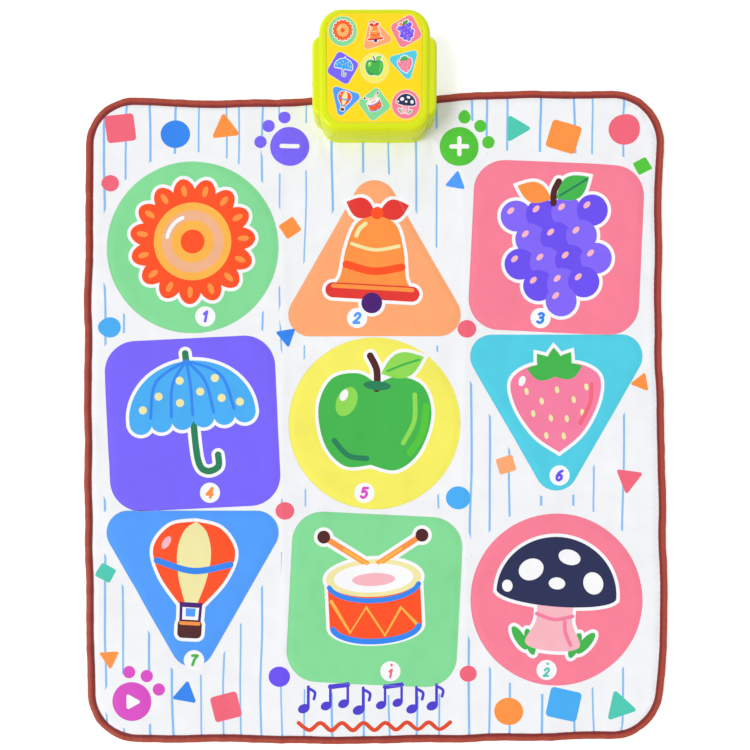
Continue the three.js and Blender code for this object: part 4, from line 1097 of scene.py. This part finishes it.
def flat_area(sheet):
    """Area of a printed sheet in square metres."""
    a, b, c = (sheet[0][sheet[1][:, i]] for i in range(3))
    doubled = np.abs((b[:, 0] - a[:, 0]) * (c[:, 1] - a[:, 1]) - (b[:, 1] - a[:, 1]) * (c[:, 0] - a[:, 0]))
    return float(doubled.sum()) / 2 * MM * MM


def sheet_of(part):
    """The printed triangles that belong to one pad or to the quilt."""
    return plan, plan_faces[face_part == part], face_colour[face_part == part]


print("quilt cloth that shows:", round(flat_area(sheet_of(QUILT_PART)), 3), "square metres")

# %% Make the quilt and the pads
quilt_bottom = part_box("top_quilt")[0].z / MM
pad_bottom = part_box("step_pad_1")[0].z / MM
quilt = printed_body("printed_quilt", sheet_of(QUILT_PART), cloth_height, quilt_bottom, printed_polyester)
dress(quilt, MAT_BODY, "printed_polyester", "top_quilt")
for index, node in enumerate(pad_nodes):
    pad = printed_body(f"printed_{node}", sheet_of(index), pad_height, pad_bottom, printed_polyester,
                       pad_outlines[node])
    ink = PANELS[node][2] if node in PANELS else CONTROL_PADS[node]
    dress(pad, node, f"ink_{ink}", node)
pad_1 = bpy.data.objects["printed_step_pad_1"]
print("quilt triangles:", len(quilt.data.polygons), "pad 1:", len(pad_1.data.polygons))

# %% [markdown]
# ## Folded binding tape
# The raw edges of the sandwich are closed by a woven polyester tape, folded over the edge and
# sewn through. It is lofted here: one open fold, drawn as the line of its outer face and given
# a thickness, is carried round the mat's outline. The upper part lies a given lift above the
# cloth under each of its points, so the tape follows every wrinkle, and the nose and the lower
# part are shares of that height. A few waves of different length along the edge give the
# swelling between stitches without a simulation. The tape's inner strip, past its ribbed
# middle, is painted darker as the shade where it slopes down to the seam; a point attribute
# hands this painted shade to the material.

# %% Helpers of the loft
TAPE = 1.0


def new_tube(name, rings, sides):
    """A closed tube: rings joined in a loop, each ring a closed loop of points."""
    count = len(rings) // sides
    faces = []
    for r in range(count):
        here, there = r * sides, (r + 1) % count * sides
        for s in range(sides):
            beside = (s + 1) % sides
            faces.append((here + s, here + beside, there + beside, there + s))
    return new_piece(name, rings, faces)


def ripple(at, length, size, shortest, seed):
    """A closed wobble along an edge: a few waves, each with a whole number of turns."""
    pen = random.Random(seed)
    turns = [(round(length / pen.uniform(shortest, 6 * shortest)), pen.uniform(0, TAU)) for _ in range(9)]
    return size * sum(np.sin(TAU * count * at / length + start) for count, start in turns) / 3


def close_fold(outer):
    """The closed section of the tape: its outer face, and the same line moved in by the thickness."""
    along = np.gradient(outer, axis=0)
    along /= np.linalg.norm(along, axis=1)[:, None]
    inner = outer + TAPE * np.column_stack([-along[:, 1], along[:, 0]])
    return np.vstack([outer, inner[::-1]])


print("points of a straight fold of two:", len(close_fold(np.array([(0.0, 0.0), (1.0, 0.0)]))))

# %% Loft the binding
TAPE_RING_STEP = 2.6
SEAM_DEPTH = 10.0
SEAM_LIFT = 0.62
SEAM_PROUD = 0.1
# Past this depth the tape gets a darker colour as painted shade, where it slopes down to the seam.
PAINTED_SHADE_DEPTH = 8.8
FLOOR_GAP = 0.05
SWELLING = 0.28
# The upper fold: depth from the mat's edge and lift above the cloth, from the inner edge out.
FOLD_TOP = [(12.0, 0.3), (11.9, 0.65), (11.0, 0.8), (SEAM_DEPTH, SEAM_LIFT), (9.0, 0.95), (7.2, 1.45),
            (4.6, 1.65)]
# The nose and the lower fold: depth and share of the height where the upper fold ends.
FOLD_NOSE = [(2.4, 0.93), (0.95, 0.76), (0.15, 0.5), (0.15, 0.26), (0.8, 0.09), (2.0, 0.0), (5.5, 0.0),
             (12.4, 0.0)]


def height_at(depth):
    """The cloth's height at one depth inside the outline, all the way round."""
    spot = places + inward * depth
    return cloth_height(spot[:, 0], spot[:, 1])


mat_outline = placed(block(mat_size.x, mat_size.y, MAT_CORNER), mat_centre.x, mat_centre.y)
places, inward, at, edge_length = along_outline(mat_outline, TAPE_RING_STEP)
swelling = ripple(at, edge_length, SWELLING, shortest=9, seed=3)
upper = np.array([height_at(depth) + lift * (1 + swelling) for depth, lift in FOLD_TOP])
nose = np.array([share * upper[-1] for depth, share in FOLD_NOSE])
depths = [depth for depth, z in FOLD_TOP + FOLD_NOSE]
folds = [close_fold(np.column_stack([depths, heights])) for heights in np.vstack([upper, nose]).T]
rings = []
for place, way, fold in zip(places, inward, folds):
    rings += [(*(place + way * depth), max(z, FLOOR_GAP)) for depth, z in fold]
binding = new_tube("folded_binding", rings, 2 * len(depths))
# Points past that depth carry the painted shade to the material.
painted_seam_shade = [float(depth > PAINTED_SHADE_DEPTH) for fold in folds for depth, z in fold]
binding.data.attributes.new("painted_seam_shade", "FLOAT", "POINT").data.foreach_set("value", painted_seam_shade)
seam_height = upper[FOLD_TOP.index((SEAM_DEPTH, SEAM_LIFT))]
seam_points = np.column_stack([places + inward * SEAM_DEPTH, seam_height + SEAM_PROUD])
seam = new_piece("binding_seam", seam_points, [])
print("binding runs", round(edge_length), "mm round the mat in", len(binding.data.polygons), "faces")

# %% [markdown]
# ## The edge isn't quite straight
# A sewn edge wanders by a few millimetres once the mat has been rolled and unrolled. The photo
# shows the far right corner pulled outwards and the near right corner drawn in. Every piece
# that reaches the edge is moved by the same sway, square to the edge. It's the same across the
# width of the tape and fades out before the first panel, so nothing opens up between them.

# %% Let the edge sway
SWAY_REACH = 27.0
SWAY_WHOLE = 12.5
SWAY_RIPPLE = 0.35
SWAY_STEPS = 720
SWAY_SOFTNESS = 27
# Places round the edge, measured from the middle of the mat, and how far outside they lie.
EDGE_SWAY = [
    (400, -320, 7.0), (400, -181, 7.0), (400, -70, 4.6), (400, 42, 1.8), (400, 153, -0.8), (400, 320, 0.0),
    (400, 420, 6.0), (300, 450, 8.0), (200, 450, 7.0), (130, 450, 6.5), (100, 450, 2.5), (75, 450, 0.0),
    (-75, 450, 0.0), (-105, 450, -2.0), (-160, 450, -4.5), (-245, 450, -4.5), (-312, 450, -2.0),
    (-400, 400, 1.0), (-400, 348, 2.4), (-400, 153, 3.8), (-400, -70, 3.8), (-400, -237, 2.4),
    (-400, -320, 0.0), (-330, -450, -2.0), (-188, -450, -0.7), (0, -450, 0.7), (147, -450, -2.0),
    (230, -450, -4.5), (300, -450, -6.5), (380, -440, -4.0),
]
sway_at = np.linspace(-math.pi, math.pi, SWAY_STEPS, endpoint=False)
sway_by = np.interp(sway_at, [math.atan2(y, x) for x, y, out in EDGE_SWAY],
                    [out for x, y, out in EDGE_SWAY], period=TAU)
window = np.hanning(SWAY_SOFTNESS)
sway_by = np.convolve(np.tile(sway_by, 3), window / window.sum(), "same")[SWAY_STEPS:2 * SWAY_STEPS]
sway_pen = random.Random(8)
for turns in (11, 17, 23, 31):
    sway_by += SWAY_RIPPLE * np.sin(turns * sway_at + sway_pen.uniform(0, TAU))


def outward(x, y):
    """The direction from each point to the nearest place on the mat's edge."""
    past_x = np.abs(x - mat_centre.x) - mat_size.x / 2 + MAT_CORNER
    past_y = np.abs(y - mat_centre.y) - mat_size.y / 2 + MAT_CORNER
    straight = np.where(past_x > past_y, 0.0, math.pi / 2)
    turn = np.where((past_x > 0) & (past_y > 0), np.arctan2(past_y, past_x), straight)
    return np.cos(turn) * np.sign(x - mat_centre.x), np.sin(turn) * np.sign(y - mat_centre.y)


def sway_edge(piece):
    """Moves a piece's points near the edge of the mat a little in or out."""
    co = np.empty(len(piece.data.vertices) * 3)
    piece.data.vertices.foreach_get("co", co)
    co = co.reshape(-1, 3)
    x, y = co[:, 0] / MM, co[:, 1] / MM
    inside = edge_distance(x, y)
    out_x, out_y = outward(x, y)
    angle = np.arctan2(y + out_y * inside - mat_centre.y, x + out_x * inside - mat_centre.x)
    share = smooth((SWAY_REACH - inside) / (SWAY_REACH - SWAY_WHOLE))
    move = MM * share * np.interp(angle, sway_at, sway_by, period=TAU)
    co[:, 0] += move * out_x
    co[:, 1] += move * out_y
    piece.data.vertices.foreach_set("co", co.ravel())
    piece.data.update()


for piece in (quilt, binding, seam):
    sway_edge(piece)
widest = max(piece.dimensions.x for piece in (quilt, binding)) / MM
print("wider than the straight mat by", round(widest - mat_size.x, 1), "mm")

# %% [markdown]
# ## Woven tape and its thread
# The tape is a plain weave with ribs across it, dyed red-brown. It is held by one row of
# lockstitch near its inner edge. A stitch is a short bit of thread that sinks in at both ends,
# so a long flat bead does for it, and a Geometry Nodes tree sets nearly 800 of them along the seam:
# the curve is resampled at the stitch pitch and each point turns its bead to the curve's heading.
# The ribs of such a tape are half a millimetre apart, too fine to show, so they are drawn at
# 3.5 mm, and the twist of the thread at 1.6 mm.

# %% Woven tape material
TAPE_WEAVE = 3.46
THREAD_TWIST = 1.57
TAPE_MOTTLE = 16.7


def make_woven_tape(name, dark, light, strip, pitch):
    """Woven polyester in two close tones, with a third, darker tone as painted shade on the inner strip."""
    material, tree, shader = start_material(name, Roughness=0.58, Sheen_Weight=0.08, Sheen_Roughness=0.35,
                                            Specular_IOR_Level=0.3)
    place = add_node(tree, "ShaderNodeTexCoord").outputs["Object"]
    mottle = add_node(tree, "ShaderNodeTexNoise", {"Vector": place, "Scale": 1 / (TAPE_MOTTLE * MM),
                                                   "Detail": 5.0, "Roughness": 0.65})
    ribs = add_node(tree, "ShaderNodeMix", {0: mottle.outputs["Fac"], 6: linear(dark), 7: linear(light)},
                    data_type="RGBA")
    # The inner strip takes the third tone as painted shade.
    inner = add_node(tree, "ShaderNodeAttribute", attribute_name="painted_seam_shade", attribute_type="GEOMETRY")
    colour = add_node(tree, "ShaderNodeMix", {0: inner.outputs["Fac"], 6: ribs.outputs[2], 7: linear(strip)},
                      data_type="RGBA")
    finish_material(tree, shader, colour.outputs[2], weave_height(tree, place, pitch), 0.4, 0.2)
    return material


# Woven polyester: matt, with a dull shine on the ribs and a darker inner strip of painted shade.
woven_tape = make_woven_tape("woven_polyester_tape", "a03e2a", "b04836", "862a28", TAPE_WEAVE)
# Spun polyester: the same fibre, dyed darker, with a finer twist.
spun_thread = make_woven_tape("spun_polyester_thread", "6e2428", "842f30", "842f30", THREAD_TWIST)
binding.data.materials.append(woven_tape)
print("tape materials:", woven_tape.name, "and", spun_thread.name)


# %% Geometry tree helpers
def start_geometry(name, **inputs):
    """A geometry tree with one geometry input, the named inputs, and one geometry output."""
    tree = bpy.data.node_groups.new(name, "GeometryNodeTree")
    tree.interface.new_socket("Geometry", in_out="INPUT", socket_type="NodeSocketGeometry")
    for label, kind in inputs.items():
        tree.interface.new_socket(label, in_out="INPUT", socket_type=f"NodeSocket{kind}")
    tree.interface.new_socket("Geometry", in_out="OUTPUT", socket_type="NodeSocketGeometry")
    return tree, add_node(tree, "NodeGroupInput").outputs


def finish_geometry(tree, instances, material):
    """Ends a tree: real geometry from its instances, with a material."""
    real = add_node(tree, "GeometryNodeRealizeInstances", {0: instances})
    dyed = add_node(tree, "GeometryNodeSetMaterial", {"Geometry": real.outputs[0], "Material": material})
    add_node(tree, "NodeGroupOutput", {0: dyed.outputs[0]})


def grow_with(tree, seedling, name, **values):
    """Runs a geometry tree on a helper object once, keeps the result as a plain mesh and drops the helper."""
    modifier = seedling.modifiers.new(tree.name, "NODES")
    modifier.node_group = tree
    for item in tree.interface.items_tree:
        if item.in_out == "INPUT" and item.name in values:
            modifier[item.identifier] = values[item.name]
    bpy.context.view_layer.update()
    mesh = bpy.data.meshes.new_from_object(seedling.evaluated_get(bpy.context.evaluated_depsgraph_get()))
    mesh.name = name
    bpy.data.objects.remove(seedling)
    return link_object(name, mesh)


# %% Sew the binding down
STITCH_PITCH = 4.2
STITCH_LENGTH = 3.5
THREAD = 0.8
STITCH_SKEW = 0.09


def make_stitch_tree():
    tree, given = start_geometry("lockstitch_row", Pitch="Float", Length="Float", Thread="Float", Seed="Int",
                                 Material="Material")
    path = add_node(tree, "GeometryNodeMeshToCurve", {"Mesh": given["Geometry"]})
    row = add_node(tree, "GeometryNodeResampleCurve", {"Curve": path.outputs[0], "Length": given["Pitch"]},
                   mode="LENGTH")
    bead = add_node(tree, "GeometryNodeMeshUVSphere", {"Segments": 6, "Rings": 5, "Radius": 0.5})
    size = add_node(tree, "ShaderNodeCombineXYZ",
                    {0: given["Length"], 1: given["Thread"], 2: given["Thread"]})
    shaped = add_node(tree, "GeometryNodeTransform", {"Geometry": bead.outputs[0], "Scale": size.outputs[0]})
    heading = add_node(tree, "GeometryNodeInputTangent")
    turned = add_node(tree, "FunctionNodeAlignRotationToVector", {"Vector": heading.outputs[0]}, axis="X")
    slip = add_node(tree, "FunctionNodeRandomValue", {2: -STITCH_SKEW, 3: STITCH_SKEW, "Seed": given["Seed"]},
                    data_type="FLOAT")
    skew = add_node(tree, "ShaderNodeCombineXYZ", {2: slip.outputs[1]})
    both = add_node(tree, "FunctionNodeRotateRotation", {0: turned.outputs[0], 1: skew.outputs[0]},
                    rotation_space="LOCAL")
    beads = add_node(tree, "GeometryNodeInstanceOnPoints",
                     {"Points": row.outputs[0], "Instance": shaped.outputs[0], "Rotation": both.outputs[0]})
    finish_geometry(tree, beads.outputs[0], given["Material"])
    return tree


ring_count = len(places)
seam.data.edges.add(ring_count)
seam.data.edges.foreach_set("vertices", [i for k in range(ring_count) for i in (k, (k + 1) % ring_count)])
seam.data.update()
stitches = grow_with(make_stitch_tree(), seam, "binding_stitches", Pitch=STITCH_PITCH * MM,
                     Length=STITCH_LENGTH * MM, Thread=THREAD * MM, Seed=4, Material=spun_thread)
dress(binding, MAT_BODY, "binding_tape", "edge_binding")
dress(stitches, MAT_BODY, "binding_tape")

# %% [markdown]
# ## Backing with moulded dots
# Under the mat lies a brushed polyester cloth with soft rubber dots moulded onto it, which keep
# the mat from sliding when a child jumps. The dots carry the weight, so the cloth ends a third
# of a millimetre above the floor. Each dot is a low dome; a Geometry Nodes tree sets one on
# every point of a staggered grid that the script hands to it. The cloth is a copy of the CAD
# sheet whose long straight edges are cut up, so that they can follow the sway of the tape.

# %% Copy a rigid piece and give it a surface
def refined_copy(node, name, material, edge=0.35):
    """A merged copy of a CAD node, its sharp edges rounded by a bevel of so many millimetres."""
    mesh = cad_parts[node].data.copy()
    mesh.name = name
    mesh.materials.clear()
    mesh.materials.append(material)
    work = bmesh.new()
    work.from_mesh(mesh)
    bmesh.ops.remove_doubles(work, verts=work.verts, dist=0.002 * MM)
    bmesh.ops.dissolve_limit(work, angle_limit=math.radians(0.6), verts=work.verts, edges=work.edges)
    work.to_mesh(mesh)
    work.free()
    mesh.shade_smooth()
    piece = link_object(name, mesh)
    if edge:
        bevel = piece.modifiers.new("moulded_edge", "BEVEL")
        bevel.width = edge * MM
        bevel.segments = 2
        bevel.limit_method = "ANGLE"
        bevel.angle_limit = math.radians(32)
        bevel.harden_normals = True
        bevel.use_clamp_overlap = True
    return piece


def make_surface(name, dark, light, tone_size, grain_size, depth, strength=0.5, tone_detail=4.0, **constants):
    """Two close tones and a fine bump; sizes and depth are in millimetres."""
    material, tree, shader = start_material(name, **constants)
    place = add_node(tree, "ShaderNodeTexCoord").outputs["Object"]
    tone = add_node(tree, "ShaderNodeTexNoise", {"Vector": place, "Scale": 1 / (tone_size * MM),
                                                 "Detail": tone_detail})
    colour = add_node(tree, "ShaderNodeMix", {0: tone.outputs["Fac"], 6: linear(dark), 7: linear(light)},
                      data_type="RGBA")
    grain = add_node(tree, "ShaderNodeTexNoise", {"Vector": place, "Scale": 1 / (grain_size * MM),
                                                  "Detail": 3.0})
    finish_material(tree, shader, colour.outputs[2], grain.outputs["Fac"], strength, depth)
    return material


# Brushed polyester: a close grey cloth, matt, with a little nap.
brushed_polyester = make_surface("brushed_grey_polyester", "878d94", "979da4", 1.6, 0.35, 0.1, Roughness=0.95,
                                 Sheen_Weight=0.2)
# Moulded rubber: smooth, slightly glossy, near white.
dot_rubber = make_surface("moulded_white_rubber", "e2e2de", "ecece8", 3.0, 0.8, 0.01, Roughness=0.45)
print("under side:", brushed_polyester.name, "with", dot_rubber.name)

# %% Fit the backing cloth
DOT_HEIGHT = 0.35
backing = refined_copy("backing_fabric", "backing_cloth", brushed_polyester, 0.0)
work = bmesh.new()
work.from_mesh(backing.data)
long_edges = list(work.edges)
while long_edges:
    bmesh.ops.subdivide_edges(work, edges=long_edges, cuts=1)
    long_edges = [edge for edge in work.edges if edge.calc_length() > 1.5 * EDGE_STEP * MM]
work.to_mesh(backing.data)
work.free()
for vertex in backing.data.vertices:
    vertex.co.z = max(vertex.co.z, DOT_HEIGHT * MM * 0.9)
sway_edge(backing)
print("backing cloth points:", len(backing.data.vertices))

# %% Mould the dots
DOT_PITCH = 13.0
DOT_RADIUS = 2.1
DOT_TOP = 0.62
DOT_FREE_EDGE = 20.0
CLAMP_MARGIN = 5.0


def make_dot_tree():
    tree, given = start_geometry("non_slip_dots", Radius="Float", Height="Float", Seed="Int",
                                 Material="Material")
    points = add_node(tree, "GeometryNodeMeshToPoints", {"Mesh": given["Geometry"]})
    dome = add_node(tree, "GeometryNodeMeshCone",
                    {"Vertices": 8, "Side Segments": 1, "Fill Segments": 1, "Radius Top": DOT_TOP,
                     "Radius Bottom": 1.0, "Depth": 1.0}, fill_type="NGON")
    spread = add_node(tree, "FunctionNodeRandomValue", {2: 0.92, 3: 1.05, "Seed": given["Seed"]},
                      data_type="FLOAT")
    wide = add_node(tree, "ShaderNodeMath", {0: given["Radius"], 1: spread.outputs[1]}, operation="MULTIPLY")
    size = add_node(tree, "ShaderNodeCombineXYZ",
                    {0: wide.outputs[0], 1: wide.outputs[0], 2: given["Height"]})
    upside_down = add_node(tree, "FunctionNodeEulerToRotation", {0: (math.pi, 0, 0)})
    domes = add_node(tree, "GeometryNodeInstanceOnPoints",
                     {"Points": points.outputs[0], "Instance": dome.outputs[0], "Scale": size.outputs[0],
                      "Rotation": upside_down.outputs[0]})
    finish_geometry(tree, domes.outputs[0], given["Material"])
    return tree


clamp_low, clamp_high = box_of("mat_clamp_plate")
spots = []
for x, y in grid_points(mat_low, mat_high, DOT_PITCH):
    in_columns = clamp_low.x - CLAMP_MARGIN < x < clamp_high.x + CLAMP_MARGIN
    in_rows = clamp_low.y - CLAMP_MARGIN < y < clamp_high.y + CLAMP_MARGIN
    if edge_distance(np.array(x), np.array(y)) > DOT_FREE_EDGE and not (in_columns and in_rows):
        spots.append((x, y, DOT_HEIGHT))
dots = grow_with(make_dot_tree(), new_piece("dot_grid", spots, []), "non_slip_dots", Radius=DOT_RADIUS * MM,
                 Height=DOT_HEIGHT * MM, Seed=2, Material=dot_rubber)
dress(backing, MAT_BODY, "backing_fabric", "backing_fabric")
dress(dots, MAT_BODY, "backing_fabric")
print("non-slip dots:", len(spots), "faces:", len(dots.data.polygons))

# %% [markdown]
# ## Box shells
# The two halves of the box are injection-moulded ABS, polished in the tool. The frame has
# their true shape in facets, so a merged copy of each is shaded smooth and its sharp edges
# get the small radius that a mould leaves. That radius is what catches the light.

# %% Moulded shells
# Injection-moulded ABS: even colour, a mirror-like skin and a faint ripple from the mould flow.
lime_abs = make_surface("polished_lime_abs", "d6e600", "e0ec00", 45.5, 3.85, 0.1, strength=0.06,
                        tone_detail=2.0, Roughness=0.14, IOR=1.54, Specular_IOR_Level=0.22)
for node, edge in (("front_shell", 0.5), ("rear_shell", 0.25)):
    shell = dress(refined_copy(node, f"box_{node}", lime_abs, edge), MAT_BODY, "lime_abs", node)
    print(shell.name, "faces:", len(shell.data.polygons))

# %% [markdown]
# ## The face panel
# The yellow face is a thin moulded plate with a printed film bonded on it. It is glossy, flat
# and raked with the box, and its edge is rolled by half a millimetre. It goes through the same
# print mesh as the cloth: an outline, small copies of the nine motifs on their shapes, one
# over each lamp, and a height function that is a sloped plane with a rounded edge. The panel
# is small and glossy, so its curves are drawn finer than those of the cloth.

# %% Print the face panel
PANEL_CORNER = 22.0
PANEL_EDGE = 0.8
PANEL_GRID_STEP = 9.0
ROLL_SHARES = (0.12, 0.35, 0.65, 1.0)
SYMBOL_SIZES = {"disc": 36.5, "square": 32.0, "triangle": 36.5}
SYMBOL_SPREAD = 1.08
SYMBOL_RIM = 0.9
SYMBOL_TURNS = [0.0, 0.3, 0.55, -0.6, 0.1, 0.25, -0.3, 0.7, -0.1]
panel_low, panel_high = box_of("face_panel")
tops = [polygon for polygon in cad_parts["face_panel"].data.polygons if polygon.normal.z > 0.9]
rake = -tops[0].normal.y / tops[0].normal.z
panel_middle = (panel_low.xy + panel_high.xy) / 2
panel_block = block(panel_high.x - panel_low.x, panel_high.y - panel_low.y, PANEL_CORNER)
panel_outline = placed(panel_block, *panel_middle)
curve_error = 0.02


def symbol(node, x, y, turn):
    """A panel of the mat and its motif, drawn small."""
    shape, lean, ink, motif = PANELS[node]
    size = SYMBOL_SIZES[shape] / pad_places[node][2]
    dx, dy, tilt, scale = PANEL_LAYOUT[node][0]
    ground = placed(panel_shape(shape, pad_places[node][2]), x, y, lean + turn, size)
    middle = placed([(dx, dy)], x, y, turn, size)[0]
    marks = [(grown(ground, SYMBOL_RIM), "cream"), (ground, ink)]
    return marks + sticker(motif(), *middle, tilt + turn / 2, size * scale, SYMBOL_RIM)


panel_prints = []
for index, node in enumerate(PANELS):
    lamp_low, lamp_high = box_of(f"lamp_{(2 - index // 3) * 3 + index % 3 + 1}")
    lamp_middle = [(low + high) / 2 for low, high in zip(lamp_low.xy, lamp_high.xy)]
    x, y = ((1 - SYMBOL_SPREAD) * middle + SYMBOL_SPREAD * over
            for middle, over in zip(panel_middle, lamp_middle))
    panel_prints += symbol(node, x, y, SYMBOL_TURNS[index])
rolls = [grown(panel_outline, -PANEL_EDGE * share) for share in ROLL_SHARES]
points, triangles, owners = triangulate([panel_outline] + rolls + [o for o, _ in panel_prints],
                                        grid_points(panel_low, panel_high, PANEL_GRID_STEP))
inks = [panel_prints[max(owner) - 1 - len(rolls)][1] if max(owner, default=0) > len(rolls) else "yellow"
        for owner in owners]
on_panel = np.array([0 in owner for owner in owners])
panel_sheet = (points, triangles[on_panel], np.array([linear(INKS[ink]) for ink in inks])[on_panel])
print("panel outlines:", len(panel_prints), "triangles:", int(on_panel.sum()))


# %% Place the face panel under its gloss film
PEEL_GRAIN = 2.38
FILM_PATTERN = (22.2, 3.0, 0.5, 0.0, 1.0, 0.97, 1.02)


def panel_plane(y):
    """The raked face before its edge is rolled."""
    return panel_high.z - rake * (panel_high.y - y)


def panel_height(x, y):
    """The raked face, rolled over at its edge."""
    inside = inside_distance(x, y, panel_outline)
    roll = PANEL_EDGE * (1 - np.sqrt(1 - np.clip(1 - inside / PANEL_EDGE, 0, 1) ** 2)) * 0.5
    return panel_plane(y) - roll


def panel_bottom(x, y):
    return panel_plane(y) - panel_depth


# Gloss film over flat inks: crisp reflections, very fine orange-peel from the lamination.
printed_film, tree, shader = start_material("gloss_printed_film", Roughness=0.16, IOR=1.5,
                                            Specular_IOR_Level=0.3)
place = add_node(tree, "ShaderNodeTexCoord").outputs["Object"]
peel = add_node(tree, "ShaderNodeTexNoise", {"Vector": place, "Scale": 1 / (PEEL_GRAIN * MM), "Detail": 2.0})
ink = mottled_ink(tree, place, FILM_PATTERN)
finish_material(tree, shader, ink, peel.outputs["Fac"], 0.08, 0.05)
panel_depth = float(panel_plane(panel_low.y) - panel_low.z)
face_panel = printed_body("box_face_panel", panel_sheet, panel_height, panel_bottom, printed_film)
dress(face_panel, MAT_BODY, "yellow_panel", "face_panel")
rake_angle = round(math.degrees(math.atan(rake)), 2)
print("panel rake:", rake_angle, "degrees, triangles:", len(face_panel.data.polygons))

# %% [markdown]
# ## Materials of the inner and lower parts
# Steel, rubber, foam, paper, epoxy and circuit board each get a small material of their own.
# They share one way of being built: two close tones mixed by noise at a scale taken from the
# real surface, and a bump at a finer scale. Only the numbers tell rubber from paper.

# %% Materials by real process
# Zinc-plated steel: a cool metal with a slightly cloudy plating.
zinc_steel = make_surface("zinc_plated_steel", "a9adb2", "c6c9cd", 3.0, 0.4, 0.01, Metallic=1.0,
                          Roughness=0.34)
# Nickel-plated spring steel: brighter and smoother than zinc.
nickel_steel = make_surface("nickel_plated_spring_steel", "c2bfb8", "d8d5cf", 2.0, 0.3, 0.005, Metallic=1.0,
                            Roughness=0.2)
# Sintered ferrite: dark, dull, with a ground face.
ferrite = make_surface("ground_ferrite", "3e4043", "54575b", 1.2, 0.3, 0.03, Roughness=0.62)
# Pressed paper pulp: black, fibrous and quite matt.
paper_cone = make_surface("pressed_paper_pulp", "222224", "333336", 1.5, 0.35, 0.06, Roughness=0.92)
# Moulded rubber: charcoal, matt, with a skin that scatters light widely.
moulded_rubber = make_surface("moulded_rubber", "2f2f31", "414144", 2.5, 0.5, 0.03, Roughness=0.82)
# White ABS of the light boxes, left matt so that it spreads the lamps' light.
white_abs = make_surface("matt_white_abs", "efefea", "f8f8f4", 12.0, 0.6, 0.01, Roughness=0.55)
# Black ABS with a fine eroded texture, as on small switch knobs.
black_abs = make_surface("eroded_black_abs", "232528", "303236", 4.0, 0.25, 0.02, Roughness=0.5)
# Solder mask over glass-fibre board: green, half gloss, with the weave just showing.
solder_mask = make_surface("green_solder_mask", "23602f", "347a44", 5.0, 0.5, 0.01, Roughness=0.38)
# Clear epoxy of the lamps: pale, smooth and glassy.
clear_epoxy = make_surface("cast_clear_epoxy", "efeade", "f8f5ec", 3.0, 1.0, 0.002, Roughness=0.1,
                           Transmission_Weight=0.6, IOR=1.55)
# Clear polyester film with a hazy anti-block coating.
polyester_film = make_surface("clear_polyester_film", "d2dfe4", "e2ebee", 30.0, 2.0, 0.01, Roughness=0.3)
# Polyimide film of the ribbon: amber and glossy.
polyimide_film = make_surface("amber_polyimide_film", "b8802f", "cf9a4c", 6.0, 1.0, 0.005, Roughness=0.28)
# Closed-cell polyethylene foam: white, with fine cells.
closed_foam = make_surface("closed_cell_foam", "ebeae4", "f6f5f0", 4.0, 0.7, 0.12, Roughness=0.9)
# Shrink sleeve of a cell can, dark blue and glossy.
cell_sleeve = make_surface("shrunk_cell_sleeve", "2c3f55", "35506b", 8.0, 1.2, 0.01, Roughness=0.25,
                           Coat_Weight=0.4)
print("materials:", len(bpy.data.materials))

# %% Copies of the rigid parts that can be seen
# Per part: its node, the piece's name, body, material, slot and the radius of its edges.
SEEN_PARTS = [
    ("battery_door", "box_battery_door", "battery_door", lime_abs, "lime_abs", 0.25),
    ("battery_door_screw", "door_screw", "battery_door", zinc_steel, "steel", 0.12),
    ("power_slider", "switch_knob", "power_slider", black_abs, "black_abs", 0.25),
    ("mat_clamp_plate", "clamp_plate", MAT_BODY, zinc_steel, "steel", 0.2),
    ("speaker_frame", "speaker_basket", MAT_BODY, zinc_steel, "steel", 0.15),
    ("speaker_cone", "speaker_paper_cone", MAT_BODY, paper_cone, "paper_cone", 0.0),
    ("speaker_magnet", "speaker_ferrite", MAT_BODY, ferrite, "magnet", 0.2),
]
SCREWS = ["clamp_screw_left", "clamp_screw_middle", "clamp_screw_right", "shell_screw_left",
          "shell_screw_right"]
FEET = [f"foot_{side}_{end}" for side in ("left", "right") for end in ("front", "back")]
SEEN_PARTS += [(screw, f"{screw}_turned", MAT_BODY, zinc_steel, "steel", 0.12) for screw in SCREWS]
SEEN_PARTS += [(foot, f"rubber_{foot}", MAT_BODY, moulded_rubber, "foot_rubber", 0.3) for foot in FEET]
for node, name, material, slot, edge in (("cell", "battery", cell_sleeve, "cell_can", 0.25),
                                         ("contact_plate", "bay_contact", nickel_steel, "steel", 0.08),
                                         ("contact_spring", "bay_spring", nickel_steel, "steel", 0.0)):
    SEEN_PARTS += [(f"{node}_{i}", f"{name}_{i}", MAT_BODY, material, slot, edge) for i in (1, 2, 3)]
for node, name, body, material, slot, edge in SEEN_PARTS:
    dress(refined_copy(node, name, material, edge), body, slot, node)
print("refined copies:", len(SEEN_PARTS))

# %% Materials for the nodes that stay
HIDDEN_PARTS = {
    "upper_contact_film": (polyester_film, "contact_film"),
    "lower_contact_film": (polyester_film, "contact_film"),
    "light_grid": (white_abs, "white_abs"),
    "main_board": (solder_mask, "circuit_board"),
    "switch_body": (black_abs, "black_abs"),
    "film_ribbon": (polyimide_film, "ribbon_film"),
}
HIDDEN_PARTS.update({f"lamp_{i}": (clear_epoxy, "lamp_epoxy") for i in range(1, 10)})
for node, (material, slot) in HIDDEN_PARTS.items():
    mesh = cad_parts[node].data
    mesh.materials.clear()
    mesh.materials.append(material)
foam = refined_copy("spacer_foam", "foam_spacer", closed_foam, 0.0)
dress(foam, MAT_BODY, "spacer_foam", "spacer_foam")
print("nodes that stay:", len(HIDDEN_PARTS))
